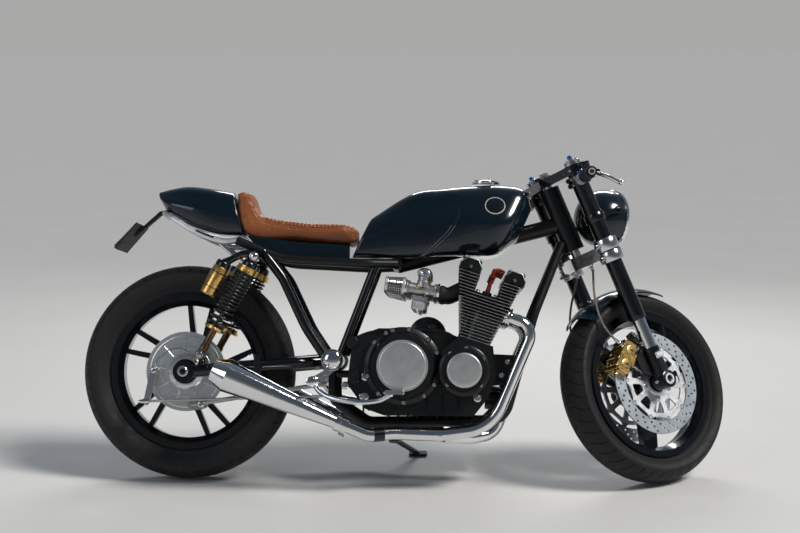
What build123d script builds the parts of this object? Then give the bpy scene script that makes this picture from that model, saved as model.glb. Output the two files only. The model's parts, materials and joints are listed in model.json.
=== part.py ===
from build123d import *
import os
from math import cos, radians, sin, tan

# Cafe racer motorcycle with an air cooled in-line four, millimetres.
#
# Every piece is drawn on the upright bike: +X forward, +Y to the rider's left, +Z up, with
# the origin on the floor under the rear axle and the steering straight. At the end the
# steering is turned to its left stop, both tyres are set on the floor, and the bike is
# leaned to its left until the side stand carries it.

# Main proportions
WHEELBASE = 1430
REAR_RADIUS = 333
REAR_WIDTH = 128
FRONT_RADIUS = 300
FRONT_WIDTH = 120
RAKE = 23
FORK_OFFSET = 41
STEERING_LOCK = 35
STAND_LEAN = 12

# Clearance between seated pieces
SEAT_GAP = 0.3

# Wheels
REAR_RIM = 229
FRONT_RIM = 216
TYRE_WALL = 9
RIM_WALL = 7
RIM_LIP = 12
SPOKE_DEPTH = 26
DRUM_RADIUS = 98
HUB_RADIUS = 36
AXLE_RADIUS = 10
AXLE_BORE = 6.5

# Fork
LEG_Y = 103
UPPER_TUBE = 27
SLIDER = 21.5
UPPER_LOW = 207
UPPER_TOP = 735
SLIDER_LOW = 108
CLAMP_LOW = 402
CLAMP_LOW_TOP = 471
CLAMP_TOP = 694
CLAMP_THICKNESS = 28
HEAD_LOW = 478
HEAD_TOP = 687
HEAD_RADIUS = 33
STEM_RADIUS = 15

# Brakes
DISC_RADIUS = 160
DISC_INNER = 124
DISC_THICKNESS = 5
DISC_Y = 64
PANEL_RADIUS = 123
PANEL_Y = -86

# Frame
SPINE_RADIUS = 25
RAIL_RADIUS = 14
RAIL_Y = 115
CRADLE_RADIUS = 15
CRADLE_Y = 90
STAY_RADIUS = 16
FRONT_STAY_RADIUS = 13.5
PIVOT_X = 458
PIVOT_Z = 372
PIVOT_HALF = 73
ARM_Y = 118
ARM_RADIUS = 19
SHAFT_ARM_RADIUS = 25

# Engine
CRANK_X = 861
CRANK_Z = 344
CLUTCH_X = 674
CLUTCH_Z = 356
CASE_HALF = 156
BARREL_HALF = 196
CYLINDER_TILT = 17.5
CYLINDER_X = 891
CYLINDER_Z = 431
BLOCK_HEIGHT = 82
HEAD_HEIGHT = 123
FIN_PITCH = 11.5
FIN_THICKNESS = 4
CYLINDER_YS = (-150, -50, 50, 150)

# Exhaust
PIPE_RADIUS = 19.5
MUFFLER_RADIUS = 45

# Side stand
STAND_X = 640
STAND_Y = 112
STAND_Z = 124
STAND_FOOT_X = 714
STAND_FOOT_Y = 304
STAND_RADIUS = 9

SIDES = (-1, 1)
LATERAL = Vector(0, 1, 0)

# Wheel centres and the steering axis on the upright bike
rear_centre = Vector(0, 0, REAR_RADIUS)
front_centre = Vector(WHEELBASE, 0, FRONT_RADIUS)
fork_x = Vector(cos(radians(RAKE)), 0, sin(radians(RAKE)))
fork_z = Vector(-sin(radians(RAKE)), 0, cos(radians(RAKE)))
fork_foot = front_centre - fork_x * FORK_OFFSET
FORK = Plane(origin=fork_foot, x_dir=fork_x, z_dir=fork_z)
STEER_AXIS = Axis(fork_foot, fork_z)

# The cylinders' own frame: x forward along the fins, z up the bores
cylinder_x = Vector(cos(radians(CYLINDER_TILT)), 0, -sin(radians(CYLINDER_TILT)))
cylinder_z = Vector(sin(radians(CYLINDER_TILT)), 0, cos(radians(CYLINDER_TILT)))
BORES = Plane(origin=(CYLINDER_X, 0, CYLINDER_Z), x_dir=cylinder_x, z_dir=cylinder_z)


def at_fork(x, y, s):
    """A point ahead of, left of and up along the steering axis."""
    return FORK.from_local_coords(Vector(x, y, s))


def at_bores(u, y, v):
    """A point ahead of, left of and up along the cylinders."""
    return BORES.from_local_coords(Vector(u, y, v))


def side_plane(y=0, x=0, z=0):
    """A plane seen from the bike's right side, at the lateral place y."""
    return Plane(origin=(x, y, z), x_dir=(1, 0, 0), z_dir=(0, -1, 0))


def spoke_plane(centre, angle):
    """A wheel's plane seen from the right, with x along a spoke at an angle above forward."""
    along = (cos(radians(angle)), 0, sin(radians(angle)))
    return Plane(origin=centre, x_dir=along, z_dir=(0, -1, 0))


def fork_side(y):
    """A plane seen from the right side, square to the steering axis, at the lateral place y."""
    return Plane(origin=at_fork(0, y, 0), x_dir=fork_x, z_dir=(0, -1, 0))


def section_plane(centre):
    """The plane of a wheel's section: x to the left, y up."""
    return Plane(origin=centre, x_dir=(0, 1, 0), z_dir=(1, 0, 0))


def bar(points, radius, bends=0):
    """Sweep a round bar along straight runs joined by arcs."""
    with BuildLine() as route:
        if len(points) == 2:
            Line(points[0], points[1])
        else:
            FilletPolyline(*points, radius=bends)
    with BuildSketch(Plane(origin=route.line @ 0, z_dir=route.line % 0)) as section:
        Circle(radius)
    sweep(section.sketch, path=route.line)


def rod(start, end, radius, bore=0, mode=Mode.ADD):
    """A round bar or tube from one point to another."""
    start = Vector(start)
    span = Vector(end) - start
    with BuildSketch(Plane(origin=start, z_dir=span)) as section:
        Circle(radius)
        if bore:
            Circle(bore, mode=Mode.SUBTRACT)
    extrude(section.sketch, amount=span.length, mode=mode)


def slab(points, y_low, y_high, mode=Mode.ADD):
    """A plate with a side outline, from one lateral place to another."""
    with BuildSketch(side_plane(y_high)) as outline:
        with BuildLine():
            Polyline(*points, close=True)
        make_face()
    extrude(outline.sketch, amount=y_high - y_low, mode=mode)


def tyre(centre, radius, width, rim):
    """A tyre: crown arc, side walls down to the beads, open inside."""
    half = width / 2
    shoulder = radius - 0.42 * half
    bead = 0.62 * half
    knee = rim + RIM_LIP + 2
    middle = 0.7 * knee + 0.3 * shoulder
    wall = TYRE_WALL
    with BuildSketch(section_plane(centre)) as section:
        with BuildLine():
            ThreePointArc((-half, shoulder), (0, radius), (half, shoulder))
            ThreePointArc((half, shoulder), (half - 6, middle), (bead, knee))
            Polyline((bead, knee), (bead, rim), (bead - wall, rim), (bead - wall, knee))
            ThreePointArc((bead - wall, knee), (half - 6 - wall, middle), (half - wall, shoulder))
            ThreePointArc((half - wall, shoulder), (0, radius - wall), (wall - half, shoulder))
            ThreePointArc((wall - half, shoulder), (wall + 6 - half, middle), (wall - bead, knee))
            Polyline((wall - bead, knee), (wall - bead, rim), (-bead, rim), (-bead, knee))
            ThreePointArc((-bead, knee), (6 - half, middle), (-half, shoulder))
        make_face()
    revolve(section.sketch, axis=Axis(centre, LATERAL))


def rim_ring(centre, width, rim):
    """A wheel's rim: a dropped well between two bead seats with lips."""
    bead = 0.31 * width
    seat = rim - SEAT_GAP
    well = rim - 16
    lip = rim + RIM_LIP
    edge = bead + SEAT_GAP
    outer = edge + RIM_WALL
    with BuildSketch(section_plane(centre)) as section:
        with BuildLine():
            Polyline(
                (-outer, lip),
                (-edge, lip),
                (-edge, seat),
                (TYRE_WALL - bead, seat),
                (-bead / 2, well),
                (bead / 2, well),
                (bead - TYRE_WALL, seat),
                (edge, seat),
                (edge, lip),
                (outer, lip),
                (outer, seat - RIM_WALL),
                (bead / 2, well - RIM_WALL),
                (-bead / 2, well - RIM_WALL),
                (-outer, seat - RIM_WALL),
                close=True,
            )
        make_face()
    revolve(section.sketch, axis=Axis(centre, LATERAL))


def lowest_point(centre, axle, radius, crown, up):
    """The lowest point of a round-crowned tyre, for an axle and an up direction."""
    out = (up - axle * up.dot(axle)).normalized()
    return centre - out * (radius - crown) - up * crown


def floor_up(pitch):
    """The floor's upward direction, seen from the upright bike."""
    return Vector(0, 0, 1).rotate(Axis.X, STAND_LEAN).rotate(Axis.Y, -pitch)


def crown_of(width):
    """The crown arc's radius of a tyre of a given width."""
    half = width / 2
    drop = 0.42 * half
    return (half * half + drop * drop) / (2 * drop)


# The leaned bike's stance: a small pitch sets the turned front tyre on the rear one's floor
turned_centre = front_centre - fork_foot
turned_centre = fork_foot + turned_centre.rotate(Axis((0, 0, 0), fork_z), STEERING_LOCK)
turned_axle = LATERAL.rotate(Axis((0, 0, 0), fork_z), STEERING_LOCK)
nose_down = 0.0
for step in range(6):
    up = floor_up(nose_down)
    rear_low = lowest_point(rear_centre, LATERAL, REAR_RADIUS, crown_of(REAR_WIDTH), up)
    front_low = lowest_point(turned_centre, turned_axle, FRONT_RADIUS, crown_of(FRONT_WIDTH), up)
    height = (front_low - rear_low).dot(up)
    nose_down += height / radians(1) / WHEELBASE
up = floor_up(nose_down)
FLOOR = Plane(origin=rear_low, x_dir=(1, 0, 0), z_dir=up)
print("nose down", nose_down, "height", height)

# Side stand: a leg on a bracket under the left rail, with a flat foot on the floor
stand_pivot = Vector(STAND_X, STAND_Y, STAND_Z)
foot_above = Vector(STAND_FOOT_X, STAND_FOOT_Y, 0)
foot_depth = (foot_above - rear_low).dot(up) / up.Z
stand_foot = foot_above - Vector(0, 0, 1) * foot_depth
STAND_STOWED = Vector(-1, 0.22, -0.02).normalized()
stand_span = stand_foot - stand_pivot
stand_axis = stand_span.normalized().cross(STAND_STOWED).normalized()

# Front tyre
with BuildPart() as front_tyre:
    tyre(front_centre, FRONT_RADIUS, FRONT_WIDTH, FRONT_RIM)
front_tyre.part.label = "front_tyre"

# Front wheel: three broad tapered spokes and a hub whose ends carry the discs
front_hub_half = DISC_Y - DISC_THICKNESS / 2 - SEAT_GAP
with BuildPart() as front_wheel:
    rim_ring(front_centre, FRONT_WIDTH, FRONT_RIM)
    for angle in (30, 150, 270):
        with BuildSketch(spoke_plane(front_centre, angle)):
            with BuildLine():
                Polyline((10, -32), (198, -26), (198, 26), (10, 32), close=True)
            make_face()
        extrude(amount=SPOKE_DEPTH / 2, both=True)
    rod(front_centre - LATERAL * front_hub_half, front_centre + LATERAL * front_hub_half, HUB_RADIUS)
    rod(
        front_centre - LATERAL * FRONT_WIDTH,
        front_centre + LATERAL * FRONT_WIDTH,
        AXLE_RADIUS + SEAT_GAP,
        mode=Mode.SUBTRACT,
    )
front_wheel.part.label = "front_wheel"

# Front discs: floating rotors on windowed carriers bolted to the hub's ends
with BuildPart() as front_discs:
    for side in SIDES:
        face = front_centre + LATERAL * (side * DISC_Y - DISC_THICKNESS / 2)
        back = face + LATERAL * DISC_THICKNESS
        rod(face, back, DISC_RADIUS, AXLE_RADIUS + 4)
        with BuildSketch(side_plane(side * DISC_Y + DISC_THICKNESS / 2, WHEELBASE, FRONT_RADIUS)):
            with PolarLocations(88, 10):
                Ellipse(22, 17)
        extrude(amount=DISC_THICKNESS, mode=Mode.SUBTRACT)
front_discs.part.label = "front_discs"

# Rear tyre
with BuildPart() as rear_tyre:
    tyre(rear_centre, REAR_RADIUS, REAR_WIDTH, REAR_RIM)
rear_tyre.part.label = "rear_tyre"

# Rear wheel: five pairs of thin swept spokes between a brake drum and the rim
SPOKE_PAIR_AT = 9
SPOKE_SPREAD = 19.5
SPOKE_SWEEP = 14
rear_well = REAR_RIM - 20
with BuildPart() as rear_wheel:
    rim_ring(rear_centre, REAR_WIDTH, REAR_RIM)
    for spoke in range(10):
        angle = SPOKE_PAIR_AT + 72 * (spoke // 2) + SPOKE_SPREAD * (spoke % 2 - 0.5)
        with BuildSketch(spoke_plane(rear_centre, angle)):
            with BuildLine():
                Line((60, -8), (60, -28))
                ThreePointArc((60, -28), (135, -17), (rear_well, -8))
                Line((rear_well, -8), (rear_well, 8))
                ThreePointArc((rear_well, 8), (135, 1), (60, -8))
            make_face()
        extrude(amount=SPOKE_DEPTH / 2, both=True)
    rod(rear_centre - LATERAL * 72, rear_centre + LATERAL * 10, DRUM_RADIUS)
    rod(rear_centre + LATERAL * 10, rear_centre + LATERAL * 62, HUB_RADIUS + 14)
    rod(
        rear_centre - LATERAL * REAR_WIDTH,
        rear_centre + LATERAL * REAR_WIDTH,
        AXLE_RADIUS + SEAT_GAP,
        mode=Mode.SUBTRACT,
    )
rear_wheel.part.label = "rear_wheel"

# Rear axle: a hollow spindle with its nut outside the right arm
with BuildPart() as rear_axle:
    rod(rear_centre - LATERAL * 146, rear_centre + LATERAL * 146, AXLE_RADIUS, AXLE_BORE)
    rod(rear_centre - LATERAL * 146, rear_centre - LATERAL * 140.5, 17, AXLE_BORE)
rear_axle.part.label = "rear_axle"

# Front axle: a hollow spindle clamped in the fork feet
with BuildPart() as front_axle:
    rod(front_centre - LATERAL * 130, front_centre + LATERAL * 130, AXLE_RADIUS, AXLE_BORE)
front_axle.part.label = "front_axle"

# Fork: black upper tubes, bright sliders and cast feet
with BuildPart() as fork_tubes:
    with BuildSketch(FORK.offset(UPPER_LOW)):
        with Locations(*[(FORK_OFFSET, side * LEG_Y) for side in SIDES]):
            Circle(UPPER_TUBE)
    extrude(amount=UPPER_TOP - UPPER_LOW)
fork_tubes.part.label = "fork_tubes"

with BuildPart() as fork_sliders:
    with BuildSketch(FORK.offset(SLIDER_LOW)):
        with Locations(*[(FORK_OFFSET, side * LEG_Y) for side in SIDES]):
            Circle(SLIDER)
    extrude(amount=UPPER_LOW - SLIDER_LOW)
fork_sliders.part.label = "fork_sliders"

# Bottom clamp: polished collars, a plate between them and the steering stem
with BuildPart() as bottom_clamp:
    with BuildSketch(FORK.offset(CLAMP_LOW)):
        with Locations(*[(FORK_OFFSET, side * LEG_Y) for side in SIDES]):
            Circle(UPPER_TUBE + 8)
    extrude(amount=CLAMP_LOW_TOP - CLAMP_LOW)
    with BuildSketch(FORK.offset(CLAMP_LOW + 14)):
        with Locations(*[(FORK_OFFSET, side * LEG_Y) for side in SIDES]):
            Circle(UPPER_TUBE + 4)
        with Locations((2, 0)):
            Circle(26)
        make_hull()
    extrude(amount=40)
    with BuildSketch(FORK.offset(CLAMP_LOW + 14)):
        Circle(STEM_RADIUS)
    extrude(amount=CLAMP_TOP - CLAMP_LOW - 14)
    with BuildSketch(FORK.offset(CLAMP_LOW - 10)):
        with Locations(*[(FORK_OFFSET, side * LEG_Y) for side in SIDES]):
            Circle(UPPER_TUBE)
    extrude(amount=100, mode=Mode.SUBTRACT)
bottom_clamp.part.label = "bottom_clamp"

# Top clamp
with BuildPart() as top_clamp:
    with BuildSketch(FORK.offset(CLAMP_TOP)):
        with Locations(*[(FORK_OFFSET, side * LEG_Y) for side in SIDES]):
            Circle(UPPER_TUBE + 8)
        with Locations((2, 0)):
            Circle(24)
        make_hull()
        with Locations(*[(FORK_OFFSET, side * LEG_Y) for side in SIDES]):
            Circle(UPPER_TUBE, mode=Mode.SUBTRACT)
    extrude(amount=CLAMP_THICKNESS)
top_clamp.part.label = "top_clamp"

# Headlight: a domed bucket on two ears, with its lens
HEADLIGHT_S = 545
HEADLIGHT_AHEAD = 150
HEADLIGHT_RADIUS = 94
HEADLIGHT_BACK = 78
HEADLIGHT_FRONT = 42
headlight = at_fork(HEADLIGHT_AHEAD, 0, HEADLIGHT_S)
headlight_axis = Axis(headlight, (1, 0, 0))
with BuildPart() as headlight_shell:
    with BuildSketch(side_plane(0, headlight.X, headlight.Z)):
        with BuildLine():
            ThreePointArc((-HEADLIGHT_BACK, 0), (-45, 66), (20, HEADLIGHT_RADIUS))
            Line((20, HEADLIGHT_RADIUS), (HEADLIGHT_FRONT, HEADLIGHT_RADIUS))
            Line((HEADLIGHT_FRONT, HEADLIGHT_RADIUS), (HEADLIGHT_FRONT, 0))
            Line((HEADLIGHT_FRONT, 0), (-HEADLIGHT_BACK, 0))
        make_face()
    revolve(axis=headlight_axis)
    for side in SIDES:
        ear = at_fork(HEADLIGHT_AHEAD, side * (HEADLIGHT_RADIUS - 8), HEADLIGHT_S)
        rod(ear, ear + LATERAL * side * 18, 10)
        with BuildSketch(FORK.offset(HEADLIGHT_S - 14)):
            with Locations((FORK_OFFSET, side * LEG_Y)):
                Circle(UPPER_TUBE + 5)
                Circle(UPPER_TUBE + SEAT_GAP, mode=Mode.SUBTRACT)
        extrude(amount=28)
        rod(
            at_fork(HEADLIGHT_AHEAD - 3, side * 96, HEADLIGHT_S),
            at_fork(FORK_OFFSET + UPPER_TUBE + 3, side * 98, HEADLIGHT_S),
            5,
        )
headlight_shell.part.label = "headlight_shell"

LENS_BULGE = 16
lens_radius = HEADLIGHT_RADIUS - 4
lens_ball = (lens_radius * lens_radius + LENS_BULGE * LENS_BULGE) / (2 * LENS_BULGE)
lens_middle = (LENS_BULGE - lens_ball * (1 - cos(radians(9))), lens_ball * sin(radians(9)))
with BuildPart() as headlight_lens:
    with BuildSketch(side_plane(0, headlight.X + HEADLIGHT_FRONT, headlight.Z)):
        with BuildLine():
            Line((0, 0), (0, lens_radius))
            ThreePointArc((0, lens_radius), lens_middle, (LENS_BULGE, 0))
            Line((LENS_BULGE, 0), (0, 0))
        make_face()
    revolve(axis=headlight_axis)
headlight_lens.part.label = "headlight_lens"

# Clip-on bars: a split clamp on each leg under the top clamp, a swept-back tube, and levers
BAR_S = 672
BAR_BACK = -145
BAR_OUT = 227
BAR_DROP = -12
BAR_RADIUS = 11
GRIP_RADIUS = 16.5
GRIP_START = 0.48
with BuildPart() as handlebars:
    for side in SIDES:
        with BuildSketch(FORK.offset(BAR_S - 18)):
            with Locations((FORK_OFFSET, side * LEG_Y)):
                Circle(UPPER_TUBE + 8)
        extrude(amount=36)
        root = at_fork(FORK_OFFSET, side * LEG_Y, BAR_S)
        tip = at_fork(FORK_OFFSET + BAR_BACK, side * (LEG_Y + BAR_OUT), BAR_S + BAR_DROP)
        rod(root, tip, BAR_RADIUS)
        perch = root + (tip - root) * (GRIP_START - 0.08)
        rod(perch, perch + fork_x * 45, 12)
        lever = perch + fork_x * 42
        lever_end = lever + (tip - root) * 0.6 + fork_x * 18
        rod(lever, lever_end, 6)
        with Locations(lever_end):
            Sphere(10)
        with BuildSketch(FORK.offset(BAR_S - 30)):
            with Locations((FORK_OFFSET, side * LEG_Y)):
                Circle(UPPER_TUBE)
        extrude(amount=60, mode=Mode.SUBTRACT)
handlebars.part.label = "handlebars"

with BuildPart() as grips:
    for side in SIDES:
        root = at_fork(FORK_OFFSET, side * LEG_Y, BAR_S)
        tip = at_fork(FORK_OFFSET + BAR_BACK, side * (LEG_Y + BAR_OUT), BAR_S + BAR_DROP)
        rod(root + (tip - root) * GRIP_START, tip, GRIP_RADIUS, BAR_RADIUS)
grips.part.label = "grips"

# Front mudguard: a short blade over the back of the tyre, on two stays to the legs
MUDGUARD_RADIUS = FRONT_RADIUS + 14
MUDGUARD_FROM = 78
MUDGUARD_TO = 142
with BuildPart() as front_mudguard:
    with BuildSketch(section_plane(front_centre)):
        with BuildLine():
            ThreePointArc((-68, MUDGUARD_RADIUS - 26), (0, MUDGUARD_RADIUS), (68, MUDGUARD_RADIUS - 26))
            Line((68, MUDGUARD_RADIUS - 26), (68, MUDGUARD_RADIUS - 22))
            ThreePointArc((68, MUDGUARD_RADIUS - 22), (0, MUDGUARD_RADIUS + 4), (-68, MUDGUARD_RADIUS - 22))
            Line((-68, MUDGUARD_RADIUS - 22), (-68, MUDGUARD_RADIUS - 26))
        make_face()
    revolve(axis=Axis(front_centre, (0, -1, 0)), revolution_arc=MUDGUARD_TO - 90)
    with BuildSketch(section_plane(front_centre)):
        with BuildLine():
            ThreePointArc((-68, MUDGUARD_RADIUS - 26), (0, MUDGUARD_RADIUS), (68, MUDGUARD_RADIUS - 26))
            Line((68, MUDGUARD_RADIUS - 26), (68, MUDGUARD_RADIUS - 22))
            ThreePointArc((68, MUDGUARD_RADIUS - 22), (0, MUDGUARD_RADIUS + 4), (-68, MUDGUARD_RADIUS - 22))
            Line((-68, MUDGUARD_RADIUS - 22), (-68, MUDGUARD_RADIUS - 26))
        make_face()
    revolve(axis=Axis(front_centre, (0, 1, 0)), revolution_arc=90 - MUDGUARD_FROM)
    for side in SIDES:
        leg_side = LEG_Y - UPPER_TUBE - SEAT_GAP
        rod(at_fork(FORK_OFFSET, side * 62, 292), at_fork(FORK_OFFSET, side * leg_side, 292), 8)
front_mudguard.part.label = "front_mudguard"

# Brake hoses: from under the bottom clamp, bowed behind the legs, to the calipers
HOSE_RADIUS = 3.5
# ahead, left, up, in the fork's frame, for the left hose
HOSE_ROUTE = (
    (4, 40, CLAMP_LOW + 14 - SEAT_GAP),
    (4, 41, CLAMP_LOW - 6),
    (-18, 48, 366),
    (-52, 62, 318),
    (-78, 76, 258),
    (-78, 84, 198),
    (-48, 84, 155),
)


def cord_bends(points):
    """The largest arcs that each pair of runs allows: 0.45 of the shorter run at each corner."""
    bends = []
    for before, corner, after in zip(points, points[1:], points[2:]):
        back = corner - before
        ahead = after - corner
        half_turn = radians(back.get_angle(ahead) / 2)
        bends.append(0.45 * min(back.length, ahead.length) / tan(half_turn))
    return bends


with BuildPart() as brake_hoses:
    for side in SIDES:
        route = [at_fork(x, side * y, s) for x, y, s in HOSE_ROUTE]
        bends = cord_bends(route)
        bar(route, HOSE_RADIUS, bends)
print("hose bends", [round(bend) for bend in bends])
brake_hoses.part.label = "brake_hoses"

# Brake calipers: behind each leg, astride the disc
CALIPER_AT = 152
with BuildPart() as calipers:
    for side in SIDES:
        with BuildSketch(side_plane(side * DISC_Y, WHEELBASE, FRONT_RADIUS)):
            with PolarLocations(142, 1, start_angle=CALIPER_AT):
                Rectangle(62, 112)
        extrude(amount=34, both=True)
        with BuildSketch(side_plane(side * DISC_Y, WHEELBASE, FRONT_RADIUS)):
            Circle(DISC_RADIUS + 5)
            Circle(DISC_INNER - 20, mode=Mode.SUBTRACT)
        extrude(amount=DISC_THICKNESS / 2 + 2, both=True, mode=Mode.SUBTRACT)
calipers.part.label = "calipers"

# Fork feet: a socket for the slider, the axle boss and the caliper's bracket
with BuildPart() as fork_feet:
    with BuildSketch(FORK.offset(-6)):
        with Locations(*[(FORK_OFFSET, side * LEG_Y) for side in SIDES]):
            Circle(25)
    extrude(amount=SLIDER_LOW + 6)
    for side in SIDES:
        inner = front_centre + LATERAL * side * (LEG_Y - 22)
        outer = front_centre + LATERAL * side * (LEG_Y + 26)
        rod(inner, outer, 27)
        with BuildSketch(fork_side(side * 92)):
            with BuildLine():
                Polyline((34, 10), (34, 104), (4, 176), (-18, 170), (-22, 60), close=True)
            make_face()
        extrude(amount=5, both=True)
    rod(front_centre - LATERAL * 140, front_centre + LATERAL * 140, AXLE_RADIUS, mode=Mode.SUBTRACT)
    add(fork_sliders.part, mode=Mode.SUBTRACT)
    add(calipers.part, mode=Mode.SUBTRACT)
fork_feet.part.label = "fork_feet"

# Steering head, spine and the two rails that carry the seat
SPINE_BACK_X = 650
SPINE_BACK_Z = 672
spine_front = at_fork(0, 0, HEAD_LOW + 90)
spine_back = Vector(SPINE_BACK_X, 0, SPINE_BACK_Z)
with BuildPart() as frame_top:
    rod(at_fork(0, 0, HEAD_LOW), at_fork(0, 0, HEAD_TOP), HEAD_RADIUS)
    rod(spine_front, spine_back, SPINE_RADIUS)
    rod((SPINE_BACK_X, -88, SPINE_BACK_Z), (SPINE_BACK_X, 88, SPINE_BACK_Z), 690 - SPINE_BACK_Z - SEAT_GAP)
    for side in SIDES:
        bar(
            [(SPINE_BACK_X, side * 84, SPINE_BACK_Z), (560, side * RAIL_Y, 670), (300, side * RAIL_Y, 682),
             (235, side * RAIL_Y, 706), (156, side * RAIL_Y, 739)],
            RAIL_RADIUS,
            [100, 200, 120],
        )
    rod((212, -RAIL_Y, 718), (212, RAIL_Y, 718), RAIL_RADIUS - 3)
    rod((160, -RAIL_Y, 737), (160, RAIL_Y, 737), RAIL_RADIUS - 3)
    rod(at_fork(0, 0, HEAD_LOW - 5), at_fork(0, 0, HEAD_TOP + 5), STEM_RADIUS + SEAT_GAP, mode=Mode.SUBTRACT)
    for side in SIDES:
        rod((216, side * (RAIL_Y - 4), 686), (216, side * 137.7, 686), 13)
        rod((216, side * RAIL_Y, 686), (216, side * RAIL_Y, 712), 12)
frame_top.part.label = "frame_top"

# Cradle: downtubes, lower rails and the swingarm pivot
with BuildPart() as frame_cradle:
    for side in SIDES:
        bar(
            [at_fork(-30, side * 22, HEAD_LOW + 34), (1075, side * CRADLE_Y, 520), (985, side * CRADLE_Y, 190),
             (560, side * CRADLE_Y, 180), (PIVOT_X, side * CRADLE_Y, 250), (PIVOT_X, side * CRADLE_Y, PIVOT_Z + 18)],
            CRADLE_RADIUS,
            [120, 70, 50, 40],
        )
        rod((PIVOT_X, side * PIVOT_HALF, PIVOT_Z), (PIVOT_X, side * 108, PIVOT_Z), 24)
    stand_top = stand_pivot + stand_axis * (11 + SEAT_GAP)
    rod(stand_top, stand_top + stand_axis * 8, 16)
    rod(stand_top + stand_axis * 8, (STAND_X, CRADLE_Y, 181), 10)
    rod((620, -CRADLE_Y, 180), (620, CRADLE_Y, 180), CRADLE_RADIUS - 2)
    add(frame_top.part, mode=Mode.SUBTRACT)
frame_cradle.part.label = "frame_cradle"

# Stays: a curved rear stay and a straight front stay on each side
with BuildPart() as frame_stays:
    for side in SIDES:
        bar(
            [(236, side * RAIL_Y, 705), (300, side * RAIL_Y, 625), (375, side * RAIL_Y, 470), (430, side * 112, 390)],
            STAY_RADIUS,
            [150, 300],
        )
        bar([(586, side * 101, 668), (482, side * 108, 390)], FRONT_STAY_RADIUS)
    add(frame_top.part, mode=Mode.SUBTRACT)
    add(frame_cradle.part, mode=Mode.SUBTRACT)
frame_stays.part.label = "frame_stays"

# Fuel tank: a side outline cut to a plan outline, edges rounded, with a tunnel for the spine
TANK_HALF = 130
with BuildPart() as fuel_tank:
    with BuildSketch(side_plane(TANK_HALF + 20)):
        with BuildLine():
            Polyline((514, 690), (690, 690), (760, 697), (957, 704), (1071, 868))
            ThreePointArc((1071, 868), (1040, 917), (971, 929))
            ThreePointArc((971, 929), (788, 917), (667, 890))
            ThreePointArc((667, 890), (585, 842), (532, 770))
            Line((532, 770), (514, 690))
        make_face()
    extrude(amount=2 * TANK_HALF + 40)
    with BuildSketch(Plane.XY.offset(600)):
        with BuildLine():
            Line((500, -88), (500, 88))
            ThreePointArc((500, 88), (700, 112), (880, TANK_HALF))
            ThreePointArc((880, TANK_HALF), (1030, 110), (1085, 40))
            Line((1085, 40), (1085, -40))
            ThreePointArc((1085, -40), (1030, -110), (880, -TANK_HALF))
            ThreePointArc((880, -TANK_HALF), (700, -112), (500, -88))
        make_face()
    extrude(amount=400, mode=Mode.INTERSECT)
    tunnel_rise = (spine_front.Z - spine_back.Z) / (spine_front.X - spine_back.X)
    tunnel_low = spine_back.Z + SPINE_RADIUS + 14
    slab([(480, 600), (480, tunnel_low), (SPINE_BACK_X, tunnel_low), (1150, tunnel_low + 500 * tunnel_rise), (1150, 600)],
         -SPINE_RADIUS - 10, SPINE_RADIUS + 10, mode=Mode.SUBTRACT)
fuel_tank.part.label = "fuel_tank"

with BuildPart() as filler_cap:
    rod((925, 0, 928), (925, 0, 938), 44)
    add(fuel_tank.part, mode=Mode.SUBTRACT)
filler_cap.part.label = "filler_cap"

# Tail cowl
with BuildPart() as tail_cowl:
    with BuildSketch(side_plane(130)):
        with BuildLine():
            Polyline((172, 756), (138, 896))
            ThreePointArc((138, 896), (0, 918), (-112, 894))
            Polyline((-112, 894), (-83, 841), (-22, 794), (60, 764), (172, 756))
        make_face()
    extrude(amount=260)
    with BuildSketch(Plane.XY.offset(700)):
        with BuildLine():
            Line((180, -112), (180, 112))
            ThreePointArc((180, 112), (40, 105), (-90, 62))
            ThreePointArc((-90, 62), (-118, 0), (-90, -62))
            ThreePointArc((-90, -62), (40, -105), (180, -112))
        make_face()
    extrude(amount=300, mode=Mode.INTERSECT)
    for side in SIDES:
        rod((158, side * 60, 770), (158, side * 60, 730), 9)
    add(frame_top.part, mode=Mode.SUBTRACT)
tail_cowl.part.label = "tail_cowl"

# Seat pad and the panel under it
with BuildPart() as seat:
    with BuildSketch(side_plane(108)):
        with BuildLine():
            Polyline((176, 757), (144, 888))
            ThreePointArc((144, 888), (170, 904), (192, 892))
            Polyline((192, 892), (212, 840), (250, 816), (350, 800), (480, 795), (524, 786), (508, 729))
            Polyline((508, 729), (340, 738), (176, 757))
        make_face()
    extrude(amount=216)
seat.part.label = "seat"

with BuildPart() as seat_base:
    slab([(185, 755), (340, 737), (505, 728), (505, 686), (300, 690), (222, 712)], -98, 98)
    add(frame_top.part, mode=Mode.SUBTRACT)
seat_base.part.label = "seat_base"

# Number plate bracket and tail light
with BuildPart() as plate_holder:
    slab([(-84, 842), (-105, 838), (-186, 764), (-180, 758), (-100, 828), (-80, 838)], -12, 12)
    slab([(-160, 792), (-164, 796), (-232, 716), (-228, 712)], -90, 90)
    add(tail_cowl.part, mode=Mode.SUBTRACT)
plate_holder.part.label = "plate_holder"

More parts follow.
